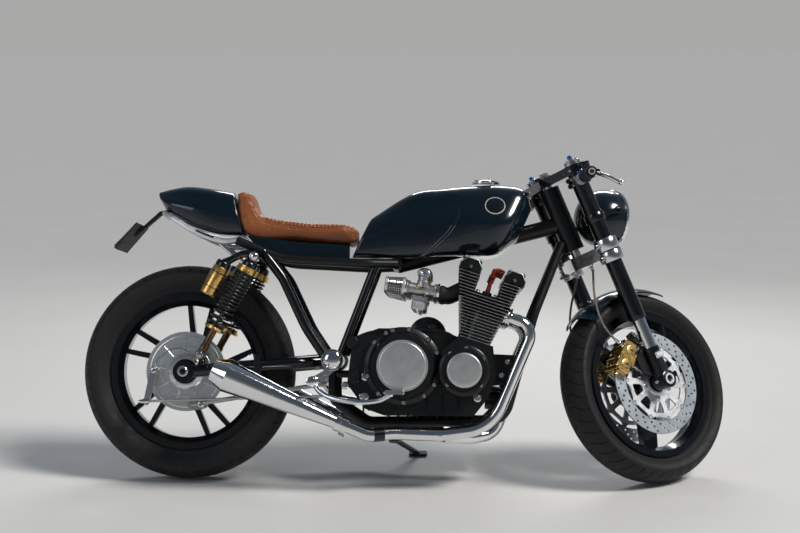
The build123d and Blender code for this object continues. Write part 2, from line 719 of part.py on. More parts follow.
# Crankcase
with BuildPart() as crankcase:
    slab([(505, 300), (560, 225), (620, 205), (890, 205), (935, 262), (958, 330), (948, 418), (835, 448),
          (790, 470), (600, 470), (520, 440)], -CASE_HALF, CASE_HALF)
    slab([(800, 300), (930, 300), (950, 345), (942, 418), (842, 446), (790, 400)], -BARREL_HALF, BARREL_HALF)
    for side in SIDES:
        rod((CRANK_X, 0, CRANK_Z), (CRANK_X, side * 222, CRANK_Z), 66)
        rod((CLUTCH_X, 0, CLUTCH_Z), (CLUTCH_X, side * 202, CLUTCH_Z), 94)
        rod((930, side * CRADLE_Y, 310), (1018, side * CRADLE_Y, 310), 11)
        rod((515, side * CRADLE_Y, 330), (PIVOT_X, side * CRADLE_Y, 330), 12)
    add(frame_cradle.part, mode=Mode.SUBTRACT)
crankcase.part.label = "crankcase"

# Polished round covers on the crankcase's sides
with BuildPart() as engine_covers:
    for side in SIDES:
        rod((CRANK_X, side * 222, CRANK_Z), (CRANK_X, side * 230, CRANK_Z), 53)
        rod((CLUTCH_X, side * 202, CLUTCH_Z), (CLUTCH_X, side * 210, CLUTCH_Z), 78)
engine_covers.part.label = "engine_covers"

# Finned cylinder block and head
def fin_stack(low, high, core_front, core_back):
    """A solid core with a stack of fins whose ends widen towards the top."""
    with BuildSketch(BORES.offset(low)) as core:
        with Locations(((core_front + core_back) / 2, 0)):
            Rectangle(core_front - core_back, 2 * BARREL_HALF - 24)
    extrude(core.sketch, amount=high - low)
    count = int((high - low) / FIN_PITCH)
    for number in range(count):
        v = low + 3 + number * FIN_PITCH
        front = 49 + 0.176 * v
        back = -49 - 0.327 * v
        with BuildSketch(BORES.offset(v)) as fin:
            with Locations(((front + back) / 2, 0)):
                Rectangle(front - back, 2 * BARREL_HALF)
        extrude(fin.sketch, amount=FIN_THICKNESS)


with BuildPart() as cylinder_block:
    fin_stack(0, BLOCK_HEIGHT, 42, -42)
    slab([(800, 200), (1000, 200), (960, 418), (942, 418), (842, 446), (790, 440)], -300, 300, mode=Mode.SUBTRACT)
    add(crankcase.part, mode=Mode.SUBTRACT)
cylinder_block.part.label = "cylinder_block"

with BuildPart() as cylinder_head:
    fin_stack(BLOCK_HEIGHT, BLOCK_HEIGHT + HEAD_HEIGHT, 60, -80)
    for low, high in ((-114, -46), (26, 92)):
        with BuildSketch(BORES.offset(BLOCK_HEIGHT + HEAD_HEIGHT)):
            with Locations(((low + high) / 2, 0)):
                Rectangle(high - low, 2 * BARREL_HALF - 6)
        extrude(amount=32)
cylinder_head.part.label = "cylinder_head"

# Carburettors and pod filters
CARB_Z = 590
with BuildPart() as carburettors:
    for y in CYLINDER_YS:
        rod(at_bores(-78, y, 160), (776, y, CARB_Z + 6), 22)
        rod((776, y, CARB_Z + 6), (690, y, CARB_Z - 4), 26)
        rod((736, y, CARB_Z), (732, y, CARB_Z + 62), 25)
        rod((736, y, CARB_Z), (740, y, CARB_Z - 64), 20)
    rod((736, -150, CARB_Z - 30), (736, 150, CARB_Z - 30), 6)
    add(cylinder_head.part, mode=Mode.SUBTRACT)
carburettors.part.label = "carburettors"

with BuildPart() as air_filters:
    for y in CYLINDER_YS:
        rod((690, y, CARB_Z - 4), (604, y, CARB_Z - 12), 34)
    add(carburettors.part, mode=Mode.SUBTRACT)
air_filters.part.label = "air_filters"

# Exhaust: two pipes to a side meet under the engine and feed one megaphone
def muffler_root(side, along):
    """A point on a muffler's axis, measured back from its clamp."""
    start = Vector(508, side * 190, 172)
    span = Vector(103, side * 217, 339) - start
    return start + span.normalized() * along


with BuildPart() as exhaust_headers:
    for side in SIDES:
        bar(
            [at_bores(58, side * 150, 104), at_bores(160, side * 150, 100), (945, side * 150, 170),
             (790, side * 150, 147), (650, side * 160, 152), muffler_root(side, -70), muffler_root(side, 0)],
            PIPE_RADIUS,
            [48, 130, 400, 100, 60],
        )
        bar(
            [at_bores(58, side * 50, 104), at_bores(160, side * 50, 100), (955, side * 50, 150), (880, side * 90, 138),
             (800, side * 146, 145)],
            PIPE_RADIUS,
            [48, 60, 60],
        )
    add(cylinder_head.part, mode=Mode.SUBTRACT)
exhaust_headers.part.label = "exhaust_headers"

with BuildPart() as mufflers:
    for side in SIDES:
        start = muffler_root(side, 0)
        length = 439
        span = muffler_root(side, length) - start
        with BuildSketch(Plane(origin=start, z_dir=LATERAL, x_dir=span)):
            with BuildLine():
                Polyline(
                    (0, 0),
                    (0, 25),
                    (38, 25),
                    (38, PIPE_RADIUS + 1),
                    (length - 43, MUFFLER_RADIUS),
                    (length, 25),
                    (length, 0),
                    close=True,
                )
            make_face()
        revolve(axis=Axis(start, span))
        rod(start + span * 0.6, start + span * 1.05, 20, mode=Mode.SUBTRACT)
mufflers.part.label = "mufflers"

# Swingarm: cross tube at the pivot, right arm, left arm round the drive shaft
with BuildPart() as swingarm:
    rod((PIVOT_X, SEAT_GAP - PIVOT_HALF, PIVOT_Z), (PIVOT_X, PIVOT_HALF - SEAT_GAP, PIVOT_Z), 27)
    for side, radius in ((-1, ARM_RADIUS), (1, SHAFT_ARM_RADIUS)):
        bar(
            [(PIVOT_X, side * 36, PIVOT_Z), (432, side * 41, PIVOT_Z - 2), (345, side * 92, 362),
             (20, side * ARM_Y, REAR_RADIUS)],
            radius,
            [40, 60],
        )
        rod((54, side * (ARM_Y - 4), 340), (54, side * (ARM_Y - 4), 380), 12)
        rod((54, side * (ARM_Y - 10), 385), (54, side * 137.7, 385), 13)
    rod((0, -100, REAR_RADIUS), (0, -140, REAR_RADIUS), 32)
    rod((0, -160, REAR_RADIUS), (0, 160, REAR_RADIUS), AXLE_RADIUS + SEAT_GAP, mode=Mode.SUBTRACT)
swingarm.part.label = "swingarm"

# Final drive: the bevel gear housing at the left of the rear hub
with BuildPart() as final_drive:
    rod((0, 68, REAR_RADIUS), (0, 96, REAR_RADIUS), 72)
    rod((0, 96, REAR_RADIUS), (0, 140, REAR_RADIUS), 58)
    rod((0, 60, REAR_RADIUS), (0, 160, REAR_RADIUS), AXLE_RADIUS + SEAT_GAP, mode=Mode.SUBTRACT)
    add(swingarm.part, mode=Mode.SUBTRACT)
final_drive.part.label = "final_drive"

# Rear brake: polished panel over the drum, with its arm, rod and torque stay
with BuildPart() as brake_panel:
    rod((0, PANEL_Y + 8, REAR_RADIUS), (0, PANEL_Y, REAR_RADIUS), PANEL_RADIUS)
    rod((0, PANEL_Y, REAR_RADIUS), (0, SEAT_GAP - 99, REAR_RADIUS), 40)
    rod((0, -60, REAR_RADIUS), (0, -120, REAR_RADIUS), AXLE_RADIUS + SEAT_GAP, mode=Mode.SUBTRACT)
    add(swingarm.part, mode=Mode.SUBTRACT)
brake_panel.part.label = "brake_panel"

with BuildPart() as brake_linkage:
    rod((-95, PANEL_Y, 330), (-95, -106, 330), 9)
    slab([(-103, 340), (-87, 340), (-112, 232), (-124, 232)], -112, -106)
    rod((-118, -118, 240), (-118, -106, 240), 6)
    rod((-118, -118, 240), (430, -150, 262), 4)
    rod((20, -96, 230), (20, PANEL_Y, 230), 12)
    rod((20, -96, 230), (440, -96, 300), 7)
    add(frame_cradle.part, mode=Mode.SUBTRACT)
    add(swingarm.part, mode=Mode.SUBTRACT)
brake_linkage.part.label = "brake_linkage"

# Rear shocks, raked forward between the rails and the arms, with piggyback reservoirs
SHOCK_Y = 152
SHOCK_LOW = (54, 385)
SHOCK_HIGH = (216, 686)
with BuildPart() as shock_bodies:
    for side in SIDES:
        low = Vector(SHOCK_LOW[0], side * SHOCK_Y, SHOCK_LOW[1])
        high = Vector(SHOCK_HIGH[0], side * SHOCK_Y, SHOCK_HIGH[1])
        along = (high - low).normalized()
        rod(low - LATERAL * 14, low + LATERAL * 14, 15)
        rod(high - LATERAL * 14, high + LATERAL * 14, 15)
        rod(low, high, 10)
        rod(low + along * 150, high - along * 26, 21)
        rod(low + along * 88, low + along * 96, 33)
        rod(low + along * 286, low + along * 300, 33)
        reservoir = Vector(125, side * SHOCK_Y, 669)
        rod(reservoir, reservoir - along * 118, 25)
        rod(high, reservoir - along * 10, 13)
shock_bodies.part.label = "shock_bodies"

with BuildPart() as shock_springs:
    for side in SIDES:
        low = Vector(SHOCK_LOW[0], side * SHOCK_Y, SHOCK_LOW[1])
        high = Vector(SHOCK_HIGH[0], side * SHOCK_Y, SHOCK_HIGH[1])
        along = (high - low).normalized()
        for turn in range(9):
            rod(low + along * (98 + 21 * turn), low + along * (108 + 21 * turn), 32, 22)
        rod(low + along * 96.5, low + along * 285.5, 25, 22)
    add(shock_bodies.part, mode=Mode.SUBTRACT)
shock_springs.part.label = "shock_springs"

# Footrests: a bracket from the pivot to a folding peg on each side
with BuildPart() as footrests:
    for side in SIDES:
        rod((PIVOT_X, side * (108 + SEAT_GAP), PIVOT_Z), (PIVOT_X, side * 140, PIVOT_Z), 33)
        slab([(470, 372), (450, 350), (385, 312), (395, 296), (420, 296), (478, 352)],
             min(side * 134, side * 142), max(side * 134, side * 142))
        rod((402, side * 134, 306), (402, side * 262, 306), 12)
    add(frame_stays.part, mode=Mode.SUBTRACT)
footrests.part.label = "footrests"

with BuildPart() as foot_levers:
    for side in SIDES:
        bar(
            [(402, side * 168, 306), (440, side * 190, 262), (545, side * 226, 244), (648, side * 228, 275)],
            6,
            [40, 80],
        )
        rod((648, side * 224, 275), (648, side * 262, 275), 9)
        rod((402, side * 160, 306), (402, side * 176, 306), 16)
        rod((402, side * 134, 306), (402, side * 262, 306), 12, mode=Mode.SUBTRACT)
foot_levers.part.label = "foot_levers"


with BuildPart() as side_stand:
    with BuildSketch(Plane(origin=stand_foot, x_dir=(1, 0, 0), z_dir=up)):
        RectangleRounded(60, 40, 12)
    extrude(amount=8)
    rod(stand_pivot, stand_foot + up * 4, STAND_RADIUS)
    rod(stand_pivot - stand_axis * 11, stand_pivot + stand_axis * 11, 16)
side_stand.part.label = "side_stand"

FRAME_PIECES = (
    frame_top, frame_cradle, frame_stays, fuel_tank, filler_cap, seat, seat_base, tail_cowl,
    plate_holder, crankcase, engine_covers, cylinder_block, cylinder_head, carburettors,
    air_filters, exhaust_headers, mufflers, swingarm, final_drive, rear_axle, brake_panel,
    brake_linkage, shock_bodies, shock_springs, footrests, foot_levers, rear_tyre, rear_wheel,
    side_stand,
)
STEERED_PIECES = (
    top_clamp, bottom_clamp, fork_tubes, fork_sliders, fork_feet, front_axle, headlight_shell,
    headlight_lens, handlebars, grips, front_mudguard, calipers, brake_hoses, front_tyre, front_wheel,
    front_discs,
)


def stand_up(thing):
    """Pitch and lean something from the upright bike onto its stand."""
    return thing.rotate(Axis.Y, nose_down).rotate(Axis.X, -STAND_LEAN)


placed = []
for piece in FRAME_PIECES:
    placed.append(stand_up(piece.part))
    placed[-1].label = piece.part.label
for piece in STEERED_PIECES:
    placed.append(stand_up(piece.part.rotate(STEER_AXIS, STEERING_LOCK)))
    placed[-1].label = piece.part.label

boxes = [piece.bounding_box() for piece in placed]
low = Vector(min(b.min.X for b in boxes), min(b.min.Y for b in boxes), min(b.min.Z for b in boxes))
high = Vector(max(b.max.X for b in boxes), max(b.max.Y for b in boxes), max(b.max.Z for b in boxes))
shift = Vector(-(low.X + high.X) / 2, -(low.Y + high.Y) / 2, -low.Z)
os.makedirs("parts", exist_ok=True)
for piece in placed:
    moved = piece.translate(shift)
    moved.label = piece.label
    export_step(moved, f"parts/{piece.label}.step")
print("size", high - low)
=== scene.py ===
import json
import math

import bmesh
import bpy
from mathutils import Matrix, Vector
from mathutils.bvhtree import BVHTree


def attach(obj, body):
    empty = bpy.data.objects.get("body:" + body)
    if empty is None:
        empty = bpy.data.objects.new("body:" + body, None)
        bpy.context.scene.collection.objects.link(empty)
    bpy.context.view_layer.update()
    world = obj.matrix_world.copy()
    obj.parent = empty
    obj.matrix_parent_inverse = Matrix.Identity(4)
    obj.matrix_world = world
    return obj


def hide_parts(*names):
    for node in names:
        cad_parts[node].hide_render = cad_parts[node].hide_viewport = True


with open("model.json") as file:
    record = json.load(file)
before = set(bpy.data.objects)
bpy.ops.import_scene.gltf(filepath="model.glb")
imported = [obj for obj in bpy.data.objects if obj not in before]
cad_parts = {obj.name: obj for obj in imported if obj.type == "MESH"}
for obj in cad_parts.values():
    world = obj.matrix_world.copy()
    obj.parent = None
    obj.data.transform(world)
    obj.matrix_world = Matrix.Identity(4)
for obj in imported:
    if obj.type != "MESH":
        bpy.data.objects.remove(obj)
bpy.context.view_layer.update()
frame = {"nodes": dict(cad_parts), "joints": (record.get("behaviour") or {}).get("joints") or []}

nodes = frame["nodes"]
joints = {joint["name"]: joint for joint in frame["joints"]}
scene = bpy.context.scene

# Pieces are drawn on the upright bike in millimetres, x forward and y to its left, as the CAD is.
# UPRIGHT and STEERED then move them into the row frame, in metres.
MM = 0.001
X, Y, Z = Vector((1, 0, 0)), Vector((0, 1, 0)), Vector((0, 0, 1))
SIDES = (-1, 1)
REAR_RADIUS, FRONT_RADIUS, WHEELBASE = 333, 300, 1430
RAKE, LEAN, STEERED_BY = 23, -12, 35
NOSE_DOWN = 0.18864725921815859
LEG_X, LEG_Y, DISC_Y, SHOCK_Y = 41, 103, 64, 152


def turn(degrees, axis):
    return Matrix.Rotation(math.radians(degrees), 4, axis)


def tilted(degrees):
    """The x and z axes of a frame tilted forward."""
    a = math.radians(degrees)
    return Vector((math.cos(a), 0, -math.sin(a))), Vector((math.sin(a), 0, math.cos(a)))


def placed(origin, x_axis, z_axis):
    """A function from (along, across, up) in a tilted frame to a place."""
    return lambda x, y, z: origin + x_axis * x + Y * y + z_axis * z


stance = turn(LEAN, "X") @ turn(NOSE_DOWN, "Y")
rear_at = Vector(joints["rear_wheel_spin"]["pos_m"])
rear_centre, front_centre = Z * REAR_RADIUS, Vector((WHEELBASE, 0, FRONT_RADIUS))
to_row = Matrix.Translation(rear_at - stance @ (rear_centre * MM)) @ stance
UPRIGHT = to_row @ Matrix.Diagonal((MM, MM, MM, 1.0))
fork_x, fork_z = tilted(-RAKE)
fork_foot = front_centre - fork_x * LEG_X
about_stem = Matrix.Translation(fork_foot) @ turn(STEERED_BY, fork_z)
STEERED = UPRIGHT @ about_stem @ Matrix.Translation(-fork_foot)
at_fork = placed(fork_foot, fork_x, fork_z)


class Nodes:
    """A short way to write a material's node tree."""

    def __init__(self, name):
        self.mat = bpy.data.materials.new(name)
        self.mat.use_nodes = True
        self.tree = self.mat.node_tree
        self.bsdf = self.tree.nodes["Principled BSDF"]

    def put(self, socket, value):
        """Link another node's socket, or set a value."""
        if isinstance(value, bpy.types.NodeSocket):
            self.tree.links.new(value, socket)
        else:
            socket.default_value = (*value, 1.0) if socket.type == "RGBA" else value

    def add(self, kind, *values, **named):
        """A node, its inputs given in order or by name."""
        node = self.tree.nodes.new(kind)
        for socket, value in zip(node.inputs, values):
            self.put(socket, value)
        for key, value in named.items():
            self.put(node.inputs[key.replace("_", " ")], value)
        return node

    def math(self, kind, *values):
        node = self.add("ShaderNodeMath", *values)
        node.operation = kind
        return node.outputs[0]

    def point(self, matrix=None):
        """Row-frame place in metres, or the place in a local frame given by its matrix."""
        place = self.tree.nodes.new("ShaderNodeTexCoord").outputs["Object"]
        if matrix is None:
            return place
        spot, turned, scale = matrix.inverted().decompose()
        return self.add(
            "ShaderNodeMapping", Vector=place, Location=spot, Rotation=turned.to_euler(),
            Scale=scale
        ).outputs[0]

    def axes(self, vector):
        return self.add("ShaderNodeSeparateXYZ", vector).outputs

    def noise(self, vector, scale, detail=4.0, rough=0.55):
        return self.add(
            "ShaderNodeTexNoise", Vector=vector, Scale=scale, Detail=detail, Roughness=rough
        ).outputs["Fac"]

    def ramp(self, fac, low, high, a=0.0, b=1.0):
        """A value between a and b as `fac` goes from low to high."""
        return self.add("ShaderNodeMapRange", fac, low, high, a, b).outputs[0]

    def mix(self, fac, a, b):
        """A colour between a and b."""
        node = self.add("ShaderNodeMix", fac)
        node.data_type = "RGBA"
        self.put(node.inputs[6], a)
        self.put(node.inputs[7], b)
        return node.outputs[2]

    def bump(self, height, distance):
        """A bump on top of the ones before it."""
        normal = self.bsdf.inputs["Normal"]
        node = self.add("ShaderNodeBump", Height=height, Distance=distance, Strength=1.0)
        if normal.is_linked:
            self.put(node.inputs["Normal"], normal.links[0].from_socket)
        self.put(normal, node.outputs[0])

    def set(self, **values):
        for key, value in values.items():
            self.put(self.bsdf.inputs[key.replace("_", " ")], value)
        return self.mat


def times(factor, color):
    return tuple(factor * c for c in color)


def painted(name, color, rough, coat=0.0, peel=0.00004, dust=0.0):
    """Paint over metal: clouded colour, fine texture, and dust or a clear coat."""
    n = Nodes(name)
    place = n.point()
    base = n.mix(n.noise(place, 9.0), times(0.72, color), times(1.25, color))
    if dust:
        speck = n.ramp(n.noise(place, 160.0, 6.0, 0.7), 0.55, 0.8, 0.0, dust)
        base = n.mix(speck, base, (0.16, 0.15, 0.13))
    n.set(
        Base_Color=base, Roughness=n.ramp(n.noise(place, 55.0), 0.2, 0.8, 0.8 * rough, 1.25 * rough)
    )
    n.bump(n.noise(place, 420.0, 2.0), peel)
    return n.set(Coat_Weight=coat, Coat_Roughness=0.03, Coat_IOR=1.36, Specular_IOR_Level=0.3)


def metal(name, color, rough, stain=0.12, grain=0.00003, scale=300.0):
    """Bare or plated metal: faint clouds in colour and roughness, fine grain."""
    n = Nodes(name)
    place = n.point()
    cloud = n.ramp(n.noise(place, 22.0, 5.0), 0.3, 0.75)
    n.bump(n.noise(place, scale, 3.0), grain)
    return n.set(
        Base_Color=n.mix(cloud, color, times(1 - stain, color)),
        Roughness=n.ramp(n.noise(place, 70.0), 0.25, 0.8, 0.75 * rough, 1.4 * rough),
        Metallic=1.0,
    )


def turned_metal(name, color, rough, centres, rings, matrix=UPRIGHT, stain=0.1):
    """Metal with fine turning lines about the nearest of a few centres, given as x and z in mm."""
    n = Nodes(name)
    x, _, z = n.axes(n.point(matrix))
    radius = None
    for cx, cz in centres:
        dx, dz = n.math("SUBTRACT", x, cx), n.math("SUBTRACT", z, cz)
        away = n.math("SQRT", n.math("ADD", n.math("MULTIPLY", dx, dx), n.math("MULTIPLY", dz, dz)))
        radius = away if radius is None else n.math("MINIMUM", radius, away)
    ring = n.add("ShaderNodeCombineXYZ", n.math("MULTIPLY", radius, rings)).outputs[0]
    lines = n.noise(ring, 1.0, 3.0, 0.7)
    cloud = n.noise(n.point(), 30.0, 5.0)
    fine, broad = n.ramp(
        lines, 0.3, 0.7, 0.6 * rough, 1.2 * rough
    ), n.ramp(cloud, 0.3, 0.8, 0.0, 0.3 * rough)
    n.bump(lines, 0.00003)
    return n.set(
        Base_Color=n.mix(n.ramp(cloud, 0.3, 0.75), color, times(1 - stain, color)),
        Roughness=n.math("ADD", fine, broad),
        Metallic=1.0,
    )


def leather_hide(name):
    """Tan leather: pebbled grain, soft creases, darker hollows, fold crests lighter partly from
    wear and partly as a painted highlight, and painted shade on the lower sides.
    """
    n = Nodes(name)
    place = n.point()
    pebble = n.add("ShaderNodeTexVoronoi", Vector=place, Scale=520.0).outputs["Distance"]
    fold = n.noise(place, 38.0, 6.0, 0.65)
    cloud = n.noise(place, 6.0, 4.0)
    stain = n.noise(place, 95.0, 5.0, 0.7)
    tone = n.mix(n.ramp(cloud, 0.3, 0.7), (0.36, 0.108, 0.026), (0.25, 0.068, 0.016))
    tone = n.mix(n.ramp(stain, 0.52, 0.8, 0.0, 0.5), tone, (0.13, 0.040, 0.013))
    # Fold crests lighter: partly wear, partly a painted highlight
    tone = n.mix(n.ramp(fold, 0.56, 0.75, 0.0, 0.35), tone, (0.50, 0.18, 0.055))
    tone = n.mix(n.ramp(pebble, 0.0, 0.32, 0.0, 0.25), n.mix(0.4, tone, (0.10, 0.03, 0.01)), tone)
    # Painted shade: the leather is darkened towards the bottom, darkest below 752 mm and fading out
    # by 782 mm
    foot = n.ramp(n.axes(n.point(UPRIGHT))[2], 752.0, 782.0, 0.62, 0.0)
    n.set(
        Base_Color=n.mix(foot, tone, (0.075, 0.019, 0.006)),
        Roughness=n.ramp(fold, 0.3, 0.75, 0.44, 0.27)
    )
    n.bump(n.ramp(fold, 0.35, 0.75), 0.0011)
    n.bump(n.ramp(pebble, 0.05, 0.55), 0.00022)
    return n.set(Specular_IOR_Level=0.45)


def woven(name, dark, light, scale, rough):
    """A fine weave of two tones."""
    n = Nodes(name)
    x, y, z = n.axes(n.point())
    flat = n.math("ADD", x, y)
    warp, weft = (
        n.math("SINE", n.math("MULTIPLY", n.math(kind, flat, z), scale))
        for kind in ("ADD", "SUBTRACT")
    )
    weave = n.math("MULTIPLY", warp, weft)
    n.bump(n.ramp(weave, -1.0, 1.0), 0.0003)
    return n.set(
        Base_Color=n.mix(n.ramp(weave, -0.4, 0.6), dark, light),
        Roughness=n.ramp(n.noise(n.point(), 90.0), 0.2, 0.8, 0.8 * rough, 1.2 * rough),
    )


def clear_glass(name):
    n = Nodes(name)
    rough = n.ramp(n.noise(n.point(), 60.0), 0.2, 0.8, 0.02, 0.06)
    return n.set(Base_Color=(0.92, 0.94, 0.95), Roughness=rough, Transmission_Weight=0.85, IOR=1.45)


M = {
    "navy": painted("navy_gloss", (0.0016, 0.0075, 0.0135), 0.2, coat=1.0, peel=0.000008),
    "gloss_black": painted(
        "gloss_black_paint", (0.0028, 0.0038, 0.0055), 0.2, coat=0.8, peel=0.00001
    ),
    "satin_black": painted("satin_black_paint", (0.0045, 0.005, 0.006), 0.36, coat=0.2, dust=0.03),
    "engine_black": painted(
        "engine_black_paint", (0.0042, 0.005, 0.006), 0.38, coat=0.25, peel=0.00012, dust=0.05
    ),
    "spring": painted("spring_enamel", (0.008, 0.008, 0.009), 0.3, coat=0.5, dust=0.05),
    "rubber": painted("black_rubber", (0.012, 0.012, 0.012), 0.65, dust=0.15, peel=0.0002),
    "plastic": painted("black_plastic", (0.012, 0.012, 0.013), 0.45, peel=0.0002),
    "red": painted("orange_red_caps", (0.20, 0.018, 0.008), 0.4, peel=0.0001),
    "cream": painted("cream_enamel", (0.62, 0.56, 0.42), 0.3, coat=0.5),
    "tyre": painted("tyre_rubber", (0.0085, 0.0085, 0.009), 0.6, dust=0.16, peel=0.0003),
    "chrome": metal("chrome_plate", (0.80, 0.81, 0.82), 0.05, stain=0.05, grain=0.000006),
    "polished": metal("polished_alloy", (0.74, 0.745, 0.75), 0.17),
    "cast": metal("cast_alloy", (0.50, 0.50, 0.49), 0.36, stain=0.3, grain=0.0002, scale=500.0),
    "silver": metal("satin_silver", (0.78, 0.79, 0.82), 0.42),
    "fins": metal("machined_edges_and_painted_glints", (0.46, 0.46, 0.45), 0.45, stain=0.2),
    "gold": metal("gold_anodised", (0.80, 0.50, 0.16), 0.28),
    "bronze": metal("brown_gold_caliper", (0.50, 0.33, 0.13), 0.4, stain=0.25, grain=0.0001),
    "blue": metal("blue_anodised", (0.05, 0.20, 0.60), 0.25),
    "steel": metal("disc_steel", (0.42, 0.46, 0.49), 0.3),
    "umber": metal("dark_bronze", (0.17, 0.11, 0.06), 0.3),
    "cover": turned_metal(
        "brushed_covers", (0.74, 0.74, 0.735), 0.38, ((674, 356), (861, 344)), 1.6
    ),
    "brake": turned_metal(
        "brushed_brake_panel", (0.74, 0.75, 0.76), 0.3, ((0, REAR_RADIUS),), 1.4, stain=0.2
    ),
    "rotor": turned_metal(
        "brushed_rotor", (0.60, 0.65, 0.69), 0.36, ((WHEELBASE, FRONT_RADIUS),), 2.2, STEERED
    ),
    "thread": woven("dark_thread", (0.020, 0.010, 0.006), (0.05, 0.026, 0.014), 6000.0, 0.7),
    "hose": woven("braided_hose", (0.05, 0.046, 0.042), (0.30, 0.27, 0.24), 4200.0, 0.35),
    "pleat": woven("filter_gauze", (0.016, 0.016, 0.017), (0.065, 0.062, 0.058), 3600.0, 0.7),
    "leather": leather_hide("tan_leather"),
    "glass": clear_glass("lens_glass"),
}
NODES_IN = {
    "satin_black": "frame_top frame_cradle side_stand fork_feet",
    "gloss_black": "frame_stays swingarm shock_springs rear_wheel front_wheel top_clamp fork_tubes"
    " handlebars",
    "navy": "fuel_tank seat_base tail_cowl headlight_shell front_mudguard",
    "chrome": "filler_cap exhaust_headers mufflers foot_levers fork_sliders",
    "engine_black": "crankcase cylinder_block cylinder_head final_drive",
    "polished": "rear_axle footrests bottom_clamp front_axle",
    "cast": "carburettors brake_linkage",
    "rubber": "plate_holder grips",
    "tyre": "rear_tyre front_tyre",
    "leather": "seat", "cover": "engine_covers", "plastic": "air_filters", "brake": "brake_panel",
    "gold": "shock_bodies", "glass": "headlight_lens", "bronze": "calipers", "hose": "brake_hoses",
    "steel": "front_discs",
}
for finish, names in NODES_IN.items():
    for name in names.split():
        nodes[name].data.materials.clear()
        nodes[name].data.materials.append(M[finish])


def around(count, start=0.0):
    """Cosine and sine of evenly spaced angles."""
    angles = [start + 2 * math.pi * k / count for k in range(count)]
    return [(math.cos(a), math.sin(a)) for a in angles]


def add_object(name, data):
    thing = bpy.data.objects.new(name, data)
    scene.collection.objects.link(thing)
    return thing


